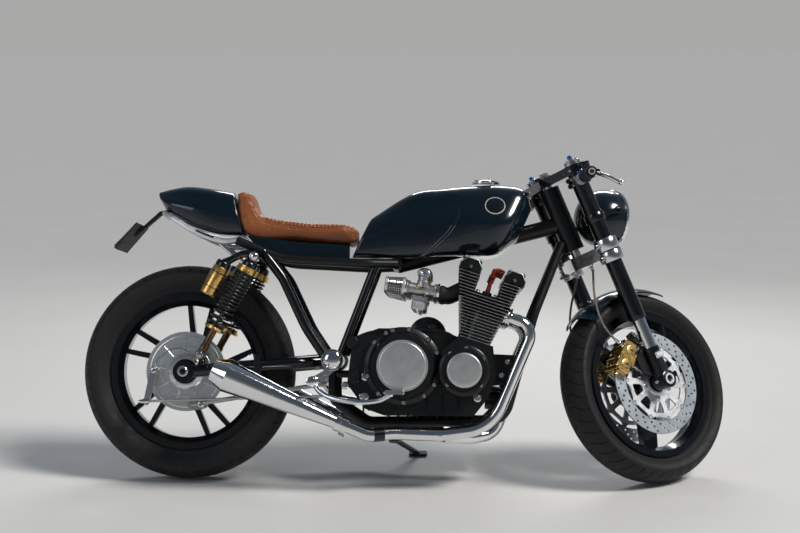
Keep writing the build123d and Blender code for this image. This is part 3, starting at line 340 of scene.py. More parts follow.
class Shape:
    """A mesh in the making, in millimetres, with a material number for each face."""

    def __init__(self):
        self.verts = []
        self.faces = []
        self.marks = []

    def add(self, verts, faces, mark=0):
        first = len(self.verts)
        self.verts += [tuple(v) for v in verts]
        self.faces += [tuple(first + i for i in face) for face in faces]
        self.marks += [mark] * len(faces)

    def skin(self, rings, mark=0, closed=False):
        """Faces between loops of points in a row, capped unless the row closes on itself."""
        count, total = len(rings[0]), len(rings)
        faces = []
        for i in range(total if closed else total - 1):
            low, high = i * count, (i + 1) % total * count
            for k in range(count):
                n = (k + 1) % count
                faces.append((low + k, low + n, high + n, high + k))
        if not closed:
            faces += [tuple(range(count))[::-1], tuple(range((total - 1) * count, total * count))]
        self.add([p for ring in rings for p in ring], faces, mark)

    def lathe(self, at, toward, profile, count=48, mark=0):
        """Turn a profile of (along, radius) about a line from `at`."""
        at, toward = Vector(at), Vector(toward).normalized()
        side = toward.orthogonal().normalized()
        other = toward.cross(side)
        verts, faces, rings = [], [], []
        for along, radius in profile:
            spot = at + toward * along
            points = [
                spot + (side * c + other * s) * radius for c, s in around(count)
            ] if radius else [spot]
            rings.append(range(len(verts), len(verts) + len(points)))
            verts += points
        for low, high in zip(rings, rings[1:]):
            for k in range(count):
                n = (k + 1) % count
                if len(low) > 1 and len(high) > 1:
                    faces.append((low[k], low[n], high[n], high[k]))
                elif len(high) > 1:
                    faces.append((high[n], high[k], low[0]))
                elif len(low) > 1:
                    faces.append((low[k], low[n], high[0]))
        self.add(verts, faces, mark)

    def rod(self, at, toward, radius, low, high, count, mark=0):
        """A plain cylinder between two distances along its axis."""
        self.lathe(at, toward, [(low, 0), (low, radius), (high, radius), (high, 0)], count, mark)

    def boss(self, at, toward, radius, height, count, mark=0, edge=1, drop=1):
        """A low boss with a chamfered rim."""
        rim = [(0, radius), (height - edge, radius), (height, radius - drop), (height, 0)]
        self.lathe(at, toward, rim, count, mark)

    def tube(self, path, radius, count=14, mark=0, closed=False):
        """A round tube along points; the radius may change from point to point."""
        path = [Vector(p) for p in path]
        total = len(path)
        radii = radius if isinstance(radius, list) else [radius] * total
        side = None
        rings = []
        for i, p in enumerate(path):
            after = (i + 1) % total if closed else min(i + 1, total - 1)
            way = (path[after] - path[i - 1 if closed else max(i - 1, 0)]).normalized()
            if side is None:
                side = way.orthogonal().normalized()
            side = (side - way * side.dot(way)).normalized()
            other = way.cross(side)
            rings.append([p + (side * c + other * s) * radii[i] for c, s in around(count)])
        self.skin(rings, mark, closed)

    def prism(self, at, toward, up, outline, depth, bevel, mark=0):
        """Push an outline of (across, up) along a direction, with chamfered ends."""
        at, toward, up = Vector(at), Vector(toward).normalized(), Vector(up).normalized()
        across = up.cross(toward).normalized()
        mid_a, mid_b = (sum(values) / len(outline) for values in zip(*outline))
        reach = max(math.hypot(a - mid_a, b - mid_b) for a, b in outline)
        shrink = 1 - bevel / reach
        inner = [(mid_a + (a - mid_a) * shrink, mid_b + (b - mid_b) * shrink) for a, b in outline]
        layers = [(0, inner), (bevel, outline), (depth - bevel, outline), (depth, inner)]
        self.skin(
            [
                [at + toward * along + across * a + up * b for a, b in line]
                for along, line in layers
            ],
            mark
        )

    def slab(self, at, side, up, outline, depth, bevel, mark=0):
        """Push an outline of (forward, up) to one side of the bike."""
        self.prism(at, Y * side, up, [(-side * a, b) for a, b in outline], depth, bevel, mark)

    def screw(self, at, toward, radius, height, mark=0):
        """A socket cap with its recess."""
        r, h = radius, height
        self.lathe(
            at, toward,
            [(0, r), (0.85 * h, r), (h, 0.86 * r), (h, 0.5 * r), (0.4 * h, 0.5 * r), (0.4 * h, 0)],
            20, mark
        )

    def bolt(self, at, toward, radius, height, mark=0):
        """A washer with a hexagon head."""
        at, toward, r, h = Vector(at), Vector(toward).normalized(), radius, height
        self.lathe(
            at, toward, [(0, 1.35 * r), (0.2 * h, 1.35 * r), (0.25 * h, 1.25 * r), (0.25 * h, 0)],
            24, mark
        )
        hexagon = [(r * c, r * s) for c, s in around(6)]
        self.prism(
            at + toward * 0.25 * h, toward, toward.orthogonal(), hexagon, 0.75 * h, 0.12 * r, mark
        )

    def piece(self, name, body, finishes, matrix=UPRIGHT, stands_for=(), sharp=35):
        """The finished object: its body and the nodes that it replaces."""
        mesh = bpy.data.meshes.new(name)
        mesh.from_pydata([tuple(matrix @ Vector(v)) for v in self.verts], [], self.faces)
        mesh.polygons.foreach_set("material_index", self.marks)
        work = bmesh.new()
        work.from_mesh(mesh)
        bmesh.ops.recalc_face_normals(work, faces=work.faces)
        work.to_mesh(mesh)
        work.free()
        mesh.shade_smooth()
        mesh.set_sharp_from_angle(angle=math.radians(sharp))
        for finish in finishes:
            mesh.materials.append(M[finish])
        piece = add_object(name, mesh)
        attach(piece, body)
        if stands_for:
            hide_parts(*stands_for)
        return piece


def spline(table, x, column=1):
    """A smooth curve through a column of a table whose first column rises, at x."""
    xs, ys = [row[0] for row in table], [row[column] for row in table]
    last = len(xs) - 1
    if not xs[0] < x < xs[last]:
        return ys[0] if x <= xs[0] else ys[last]
    i = next(k for k in range(last) if xs[k + 1] >= x)
    gap, rise = xs[i + 1] - xs[i], ys[i + 1] - ys[i]

    def slope(k):
        a, b = max(k - 1, 0), min(k + 1, last)
        return (ys[b] - ys[a]) / (xs[b] - xs[a])

    t = (x - xs[i]) / gap
    a, b = slope(i) * gap, slope(i + 1) * gap
    return ys[i] + t * (a + t * (3 * rise - 2 * a - b + t * (a + b - 2 * rise)))


def smooth_step(low, high, x):
    t = min(1.0, max(0.0, (x - low) / (high - low)))
    return t * t * (3 - 2 * t)


def through(points, count, closed=False):
    """Evenly numbered points on a smooth curve through a few points."""
    points = [Vector(p) for p in points]
    total = len(points)
    spans = total if closed else total - 1
    out = []
    for s in range(count):
        u = s / (count if closed else count - 1) * spans
        i = min(int(u), spans - 1)
        t = u - i
        if closed:
            a, b, c, d = (points[(i + k) % total] for k in (-1, 0, 1, 2))
        else:
            b, c = points[i], points[i + 1]
            a = points[i - 1] if i else b * 2 - c
            d = points[i + 2] if i + 2 < total else c * 2 - b
        square, cube = 2 * a - 5 * b + 4 * c - d, 3 * b - a - 3 * c + d
        out.append(0.5 * (2 * b + (c - a) * t + square * t * t + cube * t ** 3))
    return out


def circle(radius, count, cx=0.0, cy=0.0):
    return [(cx + radius * c, cy + radius * s) for c, s in around(count)]


def polar(points):
    """Angles in degrees and radii into across and up."""
    return [(r * math.cos(math.radians(a)), r * math.sin(math.radians(a))) for a, r in points]


def rounded(points, corner, steps=5):
    """Round a closed outline's corners."""
    out = []
    for i, b in enumerate(points):
        a, b, c = Vector(points[i - 1]), Vector(b), Vector(points[(i + 1) % len(points)])
        cut = min(corner, 0.45 * (a - b).length, 0.45 * (c - b).length)
        start, end = b + (a - b).normalized() * cut, b + (c - b).normalized() * cut
        for t in (k / steps for k in range(steps + 1)):
            p = start * (1 - t) ** 2 + b * 2 * t * (1 - t) + end * t * t
            out.append((p.x, p.y))
    return out


def cut_plate(shape, at, across, up, loops, depth, bevel, mark=0):
    """A flat plate inside an outline of (across, up); the loops after the first are holes."""
    sheet = bpy.data.curves.new("plate_outline", "CURVE")
    sheet.dimensions = "2D"
    sheet.fill_mode = "BOTH"
    sheet.extrude = depth / 2 - bevel
    sheet.bevel_depth = bevel
    sheet.bevel_resolution = 0
    sheet.offset = -bevel
    for loop in loops:
        line = sheet.splines.new("POLY")
        line.points.add(len(loop) - 1)
        for point, (a, b) in zip(line.points, loop):
            point.co = (a, b, 0, 1)
        line.use_cyclic_u = True
    holder = bpy.data.objects.new("plate_outline", sheet)
    mesh = bpy.data.meshes.new_from_object(holder)
    out = across.cross(up)
    verts = [at + across * v.co.x + up * v.co.y + out * v.co.z for v in mesh.vertices]
    shape.add(verts, [tuple(p.vertices) for p in mesh.polygons], mark)
    bpy.data.objects.remove(holder)
    bpy.data.curves.remove(sheet)
    bpy.data.meshes.remove(mesh)


def tyre(name, body, node, matrix, centre, radius, width, rim, pitches, tread):
    """A tyre whose tread grid follows its own curved cuts, so that each cut is crisp."""
    half = width / 2
    shoulder = radius - 0.42 * half
    bead = 0.62 * half
    knee = rim + 14
    drop = radius - shoulder
    crown = (half * half + drop * drop) / (2 * drop)
    span = math.asin(half / crown)
    rows = []
    for k in range(49):
        s = -1 + k / 24
        rows.append((s, crown * math.sin(s * span), radius - crown + crown * math.cos(s * span)))
    wall = []
    for t in (k / 19 for k in range(1, 20)):
        y = (1 - t) ** 2 * half + 2 * t * (1 - t) * (half - 2) + t * t * bead
        puff = 3.2 * math.sin(math.pi * min(1, 1.25 * t)) if t < 0.8 else 0
        rib = smooth_step(0.03, 0, abs(t - 0.16)) + 1.1 * smooth_step(0.035, 0, abs(t - 0.84))
        wall.append((y + puff + rib, shoulder + (knee - shoulder) * t))
    wall += [(bead, knee - 4), (bead - 1, rim + 1)]
    # s is -1 to 1 across the tread, and -2 or 2 on a sidewall
    section = [(-2, -y, z) for y, z in reversed(wall)] + rows + [(2, y, z) for y, z in wall]
    cut = 1.35 / (2 * math.pi * radius / pitches)
    steps = {0.17, 0.33, 0.67, 0.83}
    for middle in (0.0, 0.5):
        steps |= {round((middle + edge * cut) % 1, 5) for edge in (-1, -0.55, 0.55, 1)}
    verts = []
    for pitch in range(pitches):
        for phase in sorted(steps):
            for s, y, z in section:
                reach = abs(s)
                depth = 0.0
                sweep = tread * 0.35
                if reach < 2:
                    sweep = tread * (0.9 * reach ** 1.6 - 0.55 * reach ** 4)
                    own = 0.0 if s < 0 else 0.5
                    if min(abs(phase - own), 1 - abs(phase - own)) < 0.7 * cut:
                        depth = 3.2 * smooth_step(0.10, 0.2, reach) * (
                            1 - smooth_step(0.88, 0.97, reach)
                        )
                a = 2 * math.pi * (pitch + phase) / pitches + sweep
                r = z - depth * 0.85
                y -= math.copysign(depth * 0.3, y)
                verts.append((centre.x + r * math.cos(a), centre.y + y, centre.z + r * math.sin(a)))
    deep = len(section)
    columns = pitches * len(steps)
    faces = []
    for c in range(columns):
        here, beyond = c * deep, (c + 1) % columns * deep
        faces += [(here + r, beyond + r, beyond + r + 1, here + r + 1) for r in range(deep - 1)]
    shape = Shape()
    shape.add(verts, faces)
    shape.piece(name, body, ["tyre"], matrix, [node], sharp=50)


tyre(
    "rear_tyre_cut", "rear_wheel_body", "rear_tyre", UPRIGHT, rear_centre, REAR_RADIUS, 128, 229,
    54, -0.16
)
tyre(
    "front_tyre_cut", "front_wheel_body", "front_tyre", STEERED, front_centre, FRONT_RADIUS, 120,
    216, 46, 0.2
)

# x, rise, height along the panel's lean, half widths below, at the belly and above
TANK_FLOOR = 690
TANK = (
    (510, 0, 143, 80, 90, 58),
    (600, 0, 230, 92, 104, 62),
    (690, 0, 248, 99, 113, 65),
    (780, 7, 250, 105, 126, 69),
    (870, 10.5, 249, 105, 131, 70),
    (955, 14, 229, 88, 122, 64),
    (1022, 56, 124, 38, 62, 32),
)
COWL = (
    (-95, 862, 36, 40, 60, 40),
    (-75, 836, 67, 54, 76, 48),
    (-40, 808, 103, 72, 92, 58),
    (20, 780, 140, 88, 106, 70),
    (92, 760, 155, 98, 112, 78),
    (172, 756, 144, 100, 112, 80),
)
# the knee recess's front edge, seen from the side: z and x
KNEE = (
    (682, 682), (698, 740), (732, 782), (766, 817), (791, 834), (816, 848),
    (841, 852), (862, 849), (881, 838), (893, 816), (915, 740),
)


def shell_ring(height, low, belly, top, bulge, count):
    """One closed section of a body panel: width and height."""
    half = [
        (0, 0), (0.55 * low, 0), (0.93 * low, 0.008 * height), (
            low + 0.55 * (belly - low), 0.13 * height
        ),
        (belly, 0.36 * height), (0.985 * belly, 0.5 * height), (
            0.5 * belly + 0.5 * top + bulge, 0.70 * height
        ),
        (
            0.17 * belly + 0.83 * top + 0.6 * bulge, 0.87 * height
        ), (0.8 * top, 0.957 * height), (0.4 * top, 0.99 * height),
    ]
    loop = [(w, h, 0) for w, h in half] + [(0, height, 0)] + [
        (-w, h, 0) for w, h in reversed(half[1:])
    ]
    return through(loop, count, closed=True)


def body_panel(table, steps, lean, bulge, count, floor):
    """Rings of a panel between its table's ends, with the ends rounded in."""
    first, last = table[0][0], table[-1][0]
    _, up = tilted(lean)
    rings = []
    for s in range(steps + 1):
        x = first + (last - first) * s / steps
        rise, height, low, belly, top = (spline(table, x, column) for column in range(1, 6))
        inset = 1.0
        for near in (abs(x - first), abs(x - last)):
            if near < 9:
                inset -= 0.045 * (1 - math.sqrt(1 - (1 - near / 9) ** 2))
        ring = []
        for p in shell_ring(height, low, belly, top, bulge, count):
            h = height / 2 + (p.y - height / 2) * inset
            ring.append(Vector((x, p.x * inset, floor + rise)) + up * h)
        rings.append(ring)
    return rings


tank_rings = body_panel(TANK, 230, 24.5, 6, 168, TANK_FLOOR)
for p in (p for ring in tank_rings for p in ring):
    if abs(p.y) > 30 and p.z < 925:
        edge = spline(KNEE, p.z)
        inside = smooth_step(0, 16, edge - p.x) * (
            1 - smooth_step(850, 915, p.z)
        ) * smooth_step(40, 75, abs(p.y))
        p.y -= math.copysign(7.5 * inside, p.y)
tank = Shape()
tank.skin(tank_rings)
tank.piece("tank_shell", "frame", ["navy"], stands_for=["fuel_tank"], sharp=60)

seam = Shape()
for side in SIDES:
    flanks = [[p for p in ring if p.y * side > 0] for ring in tank_rings[2:-2:4]]
    seam.tube([max(flank, key=lambda p: abs(p.y) * 0.6 - p.z) for flank in flanks], 1.7, 8)
seam.piece("tank_lower_seam", "frame", ["gloss_black"])

cowl = Shape()
cowl.skin(body_panel(COWL, 150, -13.65, 3, 150, 0))
cowl.piece("cowl_shell", "frame", ["navy"], stands_for=["tail_cowl"], sharp=60)

SEAT = (
    (176, 757), (148, 884), (156, 900), (172, 905), (188, 897), (198, 872), (208, 845), (226, 824),
    (255, 813),
    (300, 806), (350, 800), (420, 796), (480, 794), (520, 790), (536, 782), (531, 764), (518, 734),
    (340, 742),
)
# the sewn line between the top panel and each side panel: x, z of the pad's upper face
SEAM = (
    (190, 893), (202, 862), (214, 838), (236, 820), (275, 809), (340, 801), (420, 797), (480, 794),
    (525, 787)
)
SEAM_Y = 90
PUFF = 0.006


def seat_outline(inset):
    """The seat's side outline in x and z, pulled in."""
    loop = through([(x, z, 0) for x, z in SEAT], 144, closed=True)
    out = []
    for i, p in enumerate(loop):
        way = (loop[(i + 1) % len(loop)] - loop[i - 1]).normalized()
        out.append(p + Vector((way.y, -way.x, 0)) * inset)
    return out


def apply(kind, **settings):
    """Put a modifier on the seat and apply it."""
    modifier = seat.modifiers.new(kind.lower(), kind)
    for key, value in settings.items():
        setattr(modifier, key, value)
    bpy.ops.object.modifier_apply(modifier=modifier.name)


def seam_wave(x):
    """How far the sewn line wanders sideways."""
    return 1.5 * math.sin(x * 0.021)


pad = Shape()
INSETS = ((-99, 20), (-97, 12), (-90, 7), (-60, 5), (0, 3), (60, 5), (90, 7), (97, 12), (99, 20))
pad.skin([[(p.x, y, p.y) for p in seat_outline(inset)] for y, inset in INSETS])
seat = pad.piece("leather_seat", "frame", ["leather"], stands_for=["seat"], sharp=180)
bpy.context.view_layer.objects.active = seat
apply("REMESH", mode="VOXEL", voxel_size=0.005)
before = [v.co.copy() for v in seat.data.vertices]
cloth = seat.modifiers.new("cloth", "CLOTH")
cloth.settings.use_pressure = True
cloth.settings.uniform_pressure_force = 4.0
cloth.settings.effector_weights.gravity = 0.0
cloth.point_cache.frame_start = 1
cloth.point_cache.frame_end = 20
for step in range(1, 21):
    scene.frame_set(step)
puffed = seat.evaluated_get(bpy.context.evaluated_depsgraph_get())
after = [v.co.copy() for v in puffed.data.vertices]
seat.modifiers.remove(cloth)
scene.frame_set(1)
for vertex, start, end in zip(seat.data.vertices, before, after):
    move = end - start
    vertex.co = start + move * min(1.0, PUFF / max(move.length, 1e-9))
apply("SMOOTH", iterations=6)
apply("SUBSURF", levels=1)

# Sink the seam, with puckers beside it and creases at the foot of the backrest
to_bike = UPRIGHT.inverted()
for vertex in seat.data.vertices:
    p = to_bike @ vertex.co
    if not 184 <= p.x <= 535 or p.z < spline(SEAM, p.x) - 24:
        continue
    off = abs(p.y) - SEAM_Y - seam_wave(p.x)
    dip = 5.0 * math.exp(-(off / 4.2) ** 2)
    if off < 0:
        dip += 1.2 * math.exp(off / 16.0) * math.sin(p.x * 0.52 + 2.2 * math.sin(p.y * 0.05))
        crease = math.sin(p.y * 0.33 + 1.1 * math.sin(p.x * 0.2)) ** 2
        dip += 2.6 * math.exp(-((p.x - 212) / 26) ** 2) * math.exp(off / 30.0) * crease
    facing = Z if p.x > 245 else Vector((0.75, 0.0, 0.66))
    facing = (facing + Y * math.copysign(0.8 * smooth_step(80, 92, abs(p.y)), p.y)).normalized()
    vertex.co = UPRIGHT @ (p - facing * dip)
seat.data.shade_smooth()

seat_skin = BVHTree.FromPolygons(
    [v.co for v in seat.data.vertices], [p.vertices for p in seat.data.polygons]
)
path = through([(x, 0, z) for x, z in SEAM], 400)
reached = [0.0]
for a, b in zip(path, path[1:]):
    reached.append(reached[-1] + (b - a).length)
threads = Shape()
for side in SIDES:
    along = 3.0
    while along < reached[-1] - 3:
        i = next(k for k, length in enumerate(reached) if length >= along)
        way = (path[min(i + 1, len(path) - 1)] - path[i - 1]).normalized()
        normal = Vector((-way.z, 0, way.x)) * math.copysign(1, way.x)
        normal = (normal + Y * side * 1.1).normalized()
        start = path[i] + Vector((0, side * (SEAM_Y + 5 + seam_wave(path[i].x)), -7)) + normal * 30
        hit, facing, _, _ = seat_skin.ray_cast(
            UPRIGHT @ start, (UPRIGHT.to_3x3() @ -normal).normalized(), 0.08
        )
        if hit:
            spot, lift = to_bike @ hit, (to_bike.to_3x3() @ facing).normalized() * 0.8
            stitch = [
                spot - way * 3.2, spot - way * 2.0 + lift, spot + way * 2.0 + lift, spot + way * 3.2
            ]
            threads.tube(stitch, [0.6, 1.05, 1.05, 0.6], 6)
        along += 9.0
threads.piece("seat_stitching", "frame", ["thread"])

CYLINDERS = (-150, -50, 50, 150)
FIN_HALF, FIN_THICK, FIN_CHAMFER = 196, 2.6, 0.5
VALLEY, HEAD_TOP = 147, 205
bore_x, bore_z = tilted(17.5)
at_bores = placed(Vector((891, 0, 431)), bore_x, bore_z)
carb_x, carb_z = tilted(8)
at_carb = placed(Vector((732, 0, 588)), carb_x, carb_z)


def fin_outline(back, front, notches):
    """A fin's outline, with rounded corners and a small notch between cylinders."""
    corner = 9
    line = []
    for quarter in range(4):
        rear, left = quarter in (1, 2), 1 if quarter < 2 else -1
        u, y = back + corner if rear else front - corner, left * (FIN_HALF - corner)
        for a in (math.pi / 2 * (quarter + k / 4) for k in range(5)):
            line.append((u + corner * math.cos(a), y + corner * math.sin(a)))
        if notches and quarter in (1, 3):
            edge, way = (back, 1) if rear else (front, -1)
            for gap in (100, 0, -100):
                line += [
                    (edge + way * u, way * (gap + y)) for u, y in ((0, 7), (9, 2), (9, -2), (0, -7))
                ]
    return line


def fin(shape, v, back, front, notches=True):
    """One fin: black faces and a bright machined rim."""
    line = fin_outline(back, front, notches)
    middle = (back + front) / 2
    inner = [(u + (middle - u) * 0.012, y * (1 - 0.7 / FIN_HALF)) for u, y in line]
    layers = [(0, inner), (FIN_CHAMFER, line), (FIN_THICK - FIN_CHAMFER, line), (FIN_THICK, inner)]
    rim = len(shape.marks) + len(line)
    shape.skin([[at_bores(u, y, v + up) for u, y in loop] for up, loop in layers])
    shape.marks[rim:rim + len(line)] = [1] * len(line)


def fins(shape, numbers):
    """Fins one above another, split in two beside the valley between the cam boxes."""
    for v in (3 + 9.6 * number for number in numbers):
        back, front = -49 - 0.327 * v, 49 + 0.176 * v
        if v + 3 < VALLEY:
            fin(shape, v, back, front)
        else:
            fin(shape, v, back, -46, False)
            fin(shape, v, 26, front, False)


def block_along(shape, back, front, half, low, high):
    """A block across all cylinders, its edges chamfered."""
    outline = [(half, low), (-half, low), (-half, high), (half, high)]
    shape.prism(at_bores(back, 0, 0), bore_x, bore_z, outline, front - back, 3)


block = Shape()
fins(block, range(9))
for y in CYLINDERS:
    block.rod(at_bores(0, y, -2), bore_z, 45, 0, 88, 40)
block_along(block, -36, 36, 184, -2, 84)
for y in (-100, 0, 100):
    for u in (-47, 44):
        block.rod(at_bores(u, y, 0), bore_z, 6, 0, 86, 16)
block.piece("finned_block", "frame", ["engine_black", "fins"], stands_for=["cylinder_block"])

head = Shape()
fins(head, range(9, 21))
block_along(head, -66, 52, 184, 83, VALLEY)
block_along(head, -98, -50, 185, 140, HEAD_TOP)
block_along(head, 30, 66, 185, 140, HEAD_TOP)
for back, front in ((-114, -46), (26, 92)):
    outline = [(back, -5), (front, -5), (front, 13), (front - 17, 33), (back + 17, 33), (back, 13)]
    head.slab(at_bores(0, -193, HEAD_TOP), 1, bore_z, outline, 386, 2.0)
    for side in SIDES:
        out = Y * side
        # Bright metal lines round each cam box end: painted glints on its chamfered edges
        head.tube(
            [at_bores(u, side * 192.614, HEAD_TOP + v) for u, v in outline[1:] + outline[:1]], 1.5,
            8, 1
        )
        head.boss(at_bores((back + front) / 2, side * 193, HEAD_TOP + 8), out, 9, 3, 28)
        head.screw(at_bores((back + front) / 2, side * 197, HEAD_TOP + 8), out, 4.5, 5, 2)
    for y in (-170, -100, -34, 34, 100, 170):
        for u in (back + 12, front - 12):
            head.boss(at_bores(u, y, HEAD_TOP + 27), bore_z, 7, 7, 20, drop=1.5)
            head.screw(at_bores(u, y, HEAD_TOP + 34), bore_z, 4, 5, 2)
    rib = [(back + 24, 31), (front - 24, 31), (front - 24, 35.5), (back + 24, 35.5)]
    for y in (-120, -60, 0, 60, 120):
        head.slab(at_bores(0, y - 1.5, HEAD_TOP), 1, bore_z, rib, 3, 0.5)
PLUG_CAP = [(0, 7), (6, 7.5), (34, 5.4), (52, 5.8), (60, 6.6), (72, 6.4), (76, 4.4), (78, 0)]
for y in CYLINDERS:
    for u in (-38, 18):
        head.bolt(at_bores(u, y - 24, VALLEY), bore_z, 5.5, 8, 2)
        head.bolt(at_bores(u, y + 24, VALLEY), bore_z, 5.5, 8, 2)
    head.boss(at_bores(-8, y, VALLEY - 2), bore_z, 15, 12, 28, edge=3, drop=3)
    head.lathe(at_bores(-8, y, VALLEY + 8), bore_z, PLUG_CAP, 24, 3)
    head.lathe(at_bores(-8, y, VALLEY + 56), bore_z, [(0, 9), (1, 11), (5, 11), (6, 9)], 24, 3)
    elbow = [
        at_bores(u, y + dy, VALLEY + v)
        for u, dy, v in ((-8, 0, 74), (-2, 3, 83), (10, 8, 86), (24, 12, 84))
    ]
    head.tube(through(elbow, 10), [5.2, 5.2, 5.2, 4.9, 4.9, 4.9, 4.5, 4.5, 4.2, 4.2], 14, 3)
head.piece(
    "finned_head", "frame", ["engine_black", "fins", "polished", "red"],
    stands_for=["cylinder_head"]
)

CLUTCH, CRANK = Vector((674, 0, 356)), Vector((861, 0, 344))
CASE_BOLTS = (
    (640, 471), (621, 457), (693, 467), (761, 445), (772, 394), (766, 302), (750, 253), (678, 242),
    (564, 323), (596, 420), (600, 270),
)
CRANK_BOLTS = ((-42, 48), (51, 32), (-49, -41), (46, -40), (4, 66))
MOUNT_BOLTS = (
    (944, 370, 96), (993, 372, 96), (975, 330, 96), (902, 260, 156), (905, 300, 156),
    (560, 262, 156)
)
CLUTCH_FACE = [
    (0, 71.4), (1.2, 71.2), (2.0, 70.2), (2.3, 68.6), (2.7, 52), (3.0, 34), (3.2, 16), (3.3, 0)
]
CRANK_FACE = [(0, 51.0), (1.2, 50.8), (2.0, 49.8), (2.3, 48.4), (2.7, 36), (3.0, 20), (3.1, 0)]
bolts = Shape()
for side in SIDES:
    out = Y * side
    for x, z in CASE_BOLTS:
        spot = CLUTCH + (Vector((x, 0, z)) - CLUTCH).normalized() * 111
        bolts.boss(spot + out * 155, out, 9, 22, 22, 1, edge=2)
        bolts.screw(spot + out * 177, out, 6.2, 6.5)
    for x, z in CRANK_BOLTS:
        spot = CRANK + Vector((x, 0, z)).normalized() * 67
        bolts.boss(spot + out * 196, out, 8, 9.5, 22, 1)
        bolts.screw(spot + out * 205, out, 5.6, 6)
    for x, z, y in MOUNT_BOLTS:
        bolts.bolt((x, side * y, z), out, 8.5, 9)
    for r, y in ((101, 178), (78.5, 201)):
        bead = [(0, r - 1.2), (1.8, r - 0.9), (2.2, r), (1.8, r + 0.9), (0, r + 1.2)]
        bolts.lathe(CLUTCH + out * (y - 1.5), out, bead, 96, 1)
    bolts.lathe(CLUTCH + out * 209.6, out, CLUTCH_FACE, 112, 2)
    bolts.lathe(CRANK + out * 229.6, out, CRANK_FACE, 96, 2)
    for x in range(556, 845, 48):
        rib = [(x, side * y, z) for y, z in ((150, 214), (157.5, 216), (157.5, 262), (150, 276))]
        bolts.tube(rib, 3.2, 8, 1)
    edge = [(x, side * 157, z) for x, z in ((520, 438), (600, 462), (785, 462), (838, 440))]
    bolts.tube(through(edge, 30), 3.4, 10, 1)
    bolts.boss((760, side * 146, 470), Z, 16, 12, 32, 1, edge=3, drop=3)
bolts.piece("engine_bolts", "frame", ["polished", "engine_black", "cover"])

# Sump with cooling ribs, oil filter and drain plug
sump = Shape()
filter_way = Vector((1, 0, -0.1))
for x in range(628, 869, 30):
    sump.slab((x, -118, 196), 1, Z, [(2, 0), (-2, 0), (-2, 12), (2, 12)], 236, 0.8)
sump.lathe((930, 0, 262), filter_way, [(0, 36), (10, 37), (58, 36), (66, 30), (68, 0)])
for c, s in around(24):
    sump.tube([(944, 36.5 * c, 260 + 36.5 * s), (986, 36.5 * c, 256 + 36.5 * s)], 1.2, 6)
sump.bolt((995, 0, 256), filter_way, 10, 10, 1)
sump.bolt((760, 60, 196), -Z, 9, 8, 1)
sump.piece("sump_ribs", "frame", ["engine_black", "polished"])

CARB_BODY = [
    (0, 20), (3, 23.5), (9, 23.5), (11, 19), (30, 17.5), (62, 17.5), (84, 19), (86, 24), (92, 24),
    (94, 20), (97, 20),
]
FLANGE = [(-20, -24), (-20, 18), (-14, 24), (14, 24), (20, 18), (20, -24), (14, -30), (-14, -30)]
BOWL = [(-15, -20), (-15, 14), (-10, 19), (10, 19), (15, 14), (15, -20), (10, -25), (-10, -25)]
carbs = Shape()
for y in CYLINDERS:
    carbs.lathe(at_carb(-50, y, 0), carb_x, CARB_BODY, 40)
    carbs.lathe(
        at_carb(0, y, 8), carb_z, [(0, 19.5), (18, 19.5), (20, 18), (32, 18), (36, 22), (42, 22)],
        40
    )
    dome = [(0, 24), (3, 24), (4, 23), (8, 21), (14, 15), (17, 8), (18, 0)]
    carbs.lathe(at_carb(0, y, 50), carb_z, dome, 40, 1)
    for c, s in around(4, math.pi / 4):
        carbs.lathe(at_carb(23 * c, y + 23 * s, 44), carb_z, [(0, 5), (9, 5), (9, 0)], 14)
        carbs.screw(at_carb(23 * c, y + 23 * s, 53), carb_z, 3, 3, 2)
    carbs.prism(at_carb(-2, y, -29), carb_z, carb_x, FLANGE, 8, 1.2)
    carbs.prism(at_carb(-2, y, -62), carb_z, carb_x, BOWL, 33, 3.0, 3)
    for a, b in ((-24, -15), (-24, 15), (18, -15), (18, 15)):
        carbs.screw(at_carb(a, y + b, -31), -carb_z, 3, 3, 2)
    carbs.boss(at_carb(-4, y, -62), -carb_z, 7, 6, 20, 2, drop=2)
    for side in SIDES:
        out = Y * side
        carbs.slab(
            at_carb(-4, y + side * 17, -50), side, carb_z,
            [(-11, -8), (11, -8), (11, 12), (-11, 12)], 2, 0.6, 3
        )
        carbs.boss(at_carb(12, y + side * 14, -14), out, 6, 10, 18, 2, edge=2, drop=1.5)
        carbs.boss(at_carb(-18, y + side * 15, 6), out, 5, 8, 18, 4, drop=2)
    carbs.lathe(at_carb(44, y, 0), carb_x, [(0, 23.5), (8, 23.5)], 40, 2)
    carbs.screw(at_carb(48, y - 5, 24), Y, 3, 8, 2)
    boot = [(0, 19), (3, 22.5), (12, 22.5), (18, 19.5), (24, 20)]
    carbs.lathe(at_carb(52, y, 0), carb_x - Z * 0.02, boot, 36, 5)
carbs.tube([at_carb(24, -166, -8), at_carb(24, 166, -8)], 4, 12, 2)
carbs.tube([at_carb(-24, -168, -20), at_carb(-24, 168, -20)], 3, 12, 2)
for y in (-100, 0, 100):
    coil = [(6 * math.cos(t * 0.9), y - 8 + t * 0.42, 6 * math.sin(t * 0.9)) for t in range(40)]
    carbs.tube([at_carb(24 + u, along, v - 8) for u, along, v in coil], 0.9, 6, 2)
    carbs.slab(
        at_carb(24, y + 14, -8), 1, carb_z, [(-8, -6), (8, -6), (4, 22), (-4, 22)], 2.5, 0.4, 2
    )
for y in CYLINDERS:
    stub = [at_carb(64, y, 0), at_carb(84, y, 2), at_bores(-78, y, 152), at_bores(-60, y, 152)]
    carbs.tube(through(stub, 16), 19.5, 32, 5)
    carbs.lathe(
        at_bores(-74, y, 152), -bore_x, [(0, 19), (0, 26), (6, 26), (7, 25), (7, 19)], 40, 2
    )
CARB_FINISHES = ["cast", "polished", "chrome", "silver", "gold", "rubber"]
carbs.piece("carburettor_bank", "frame", CARB_FINISHES, stands_for=["carburettors"])


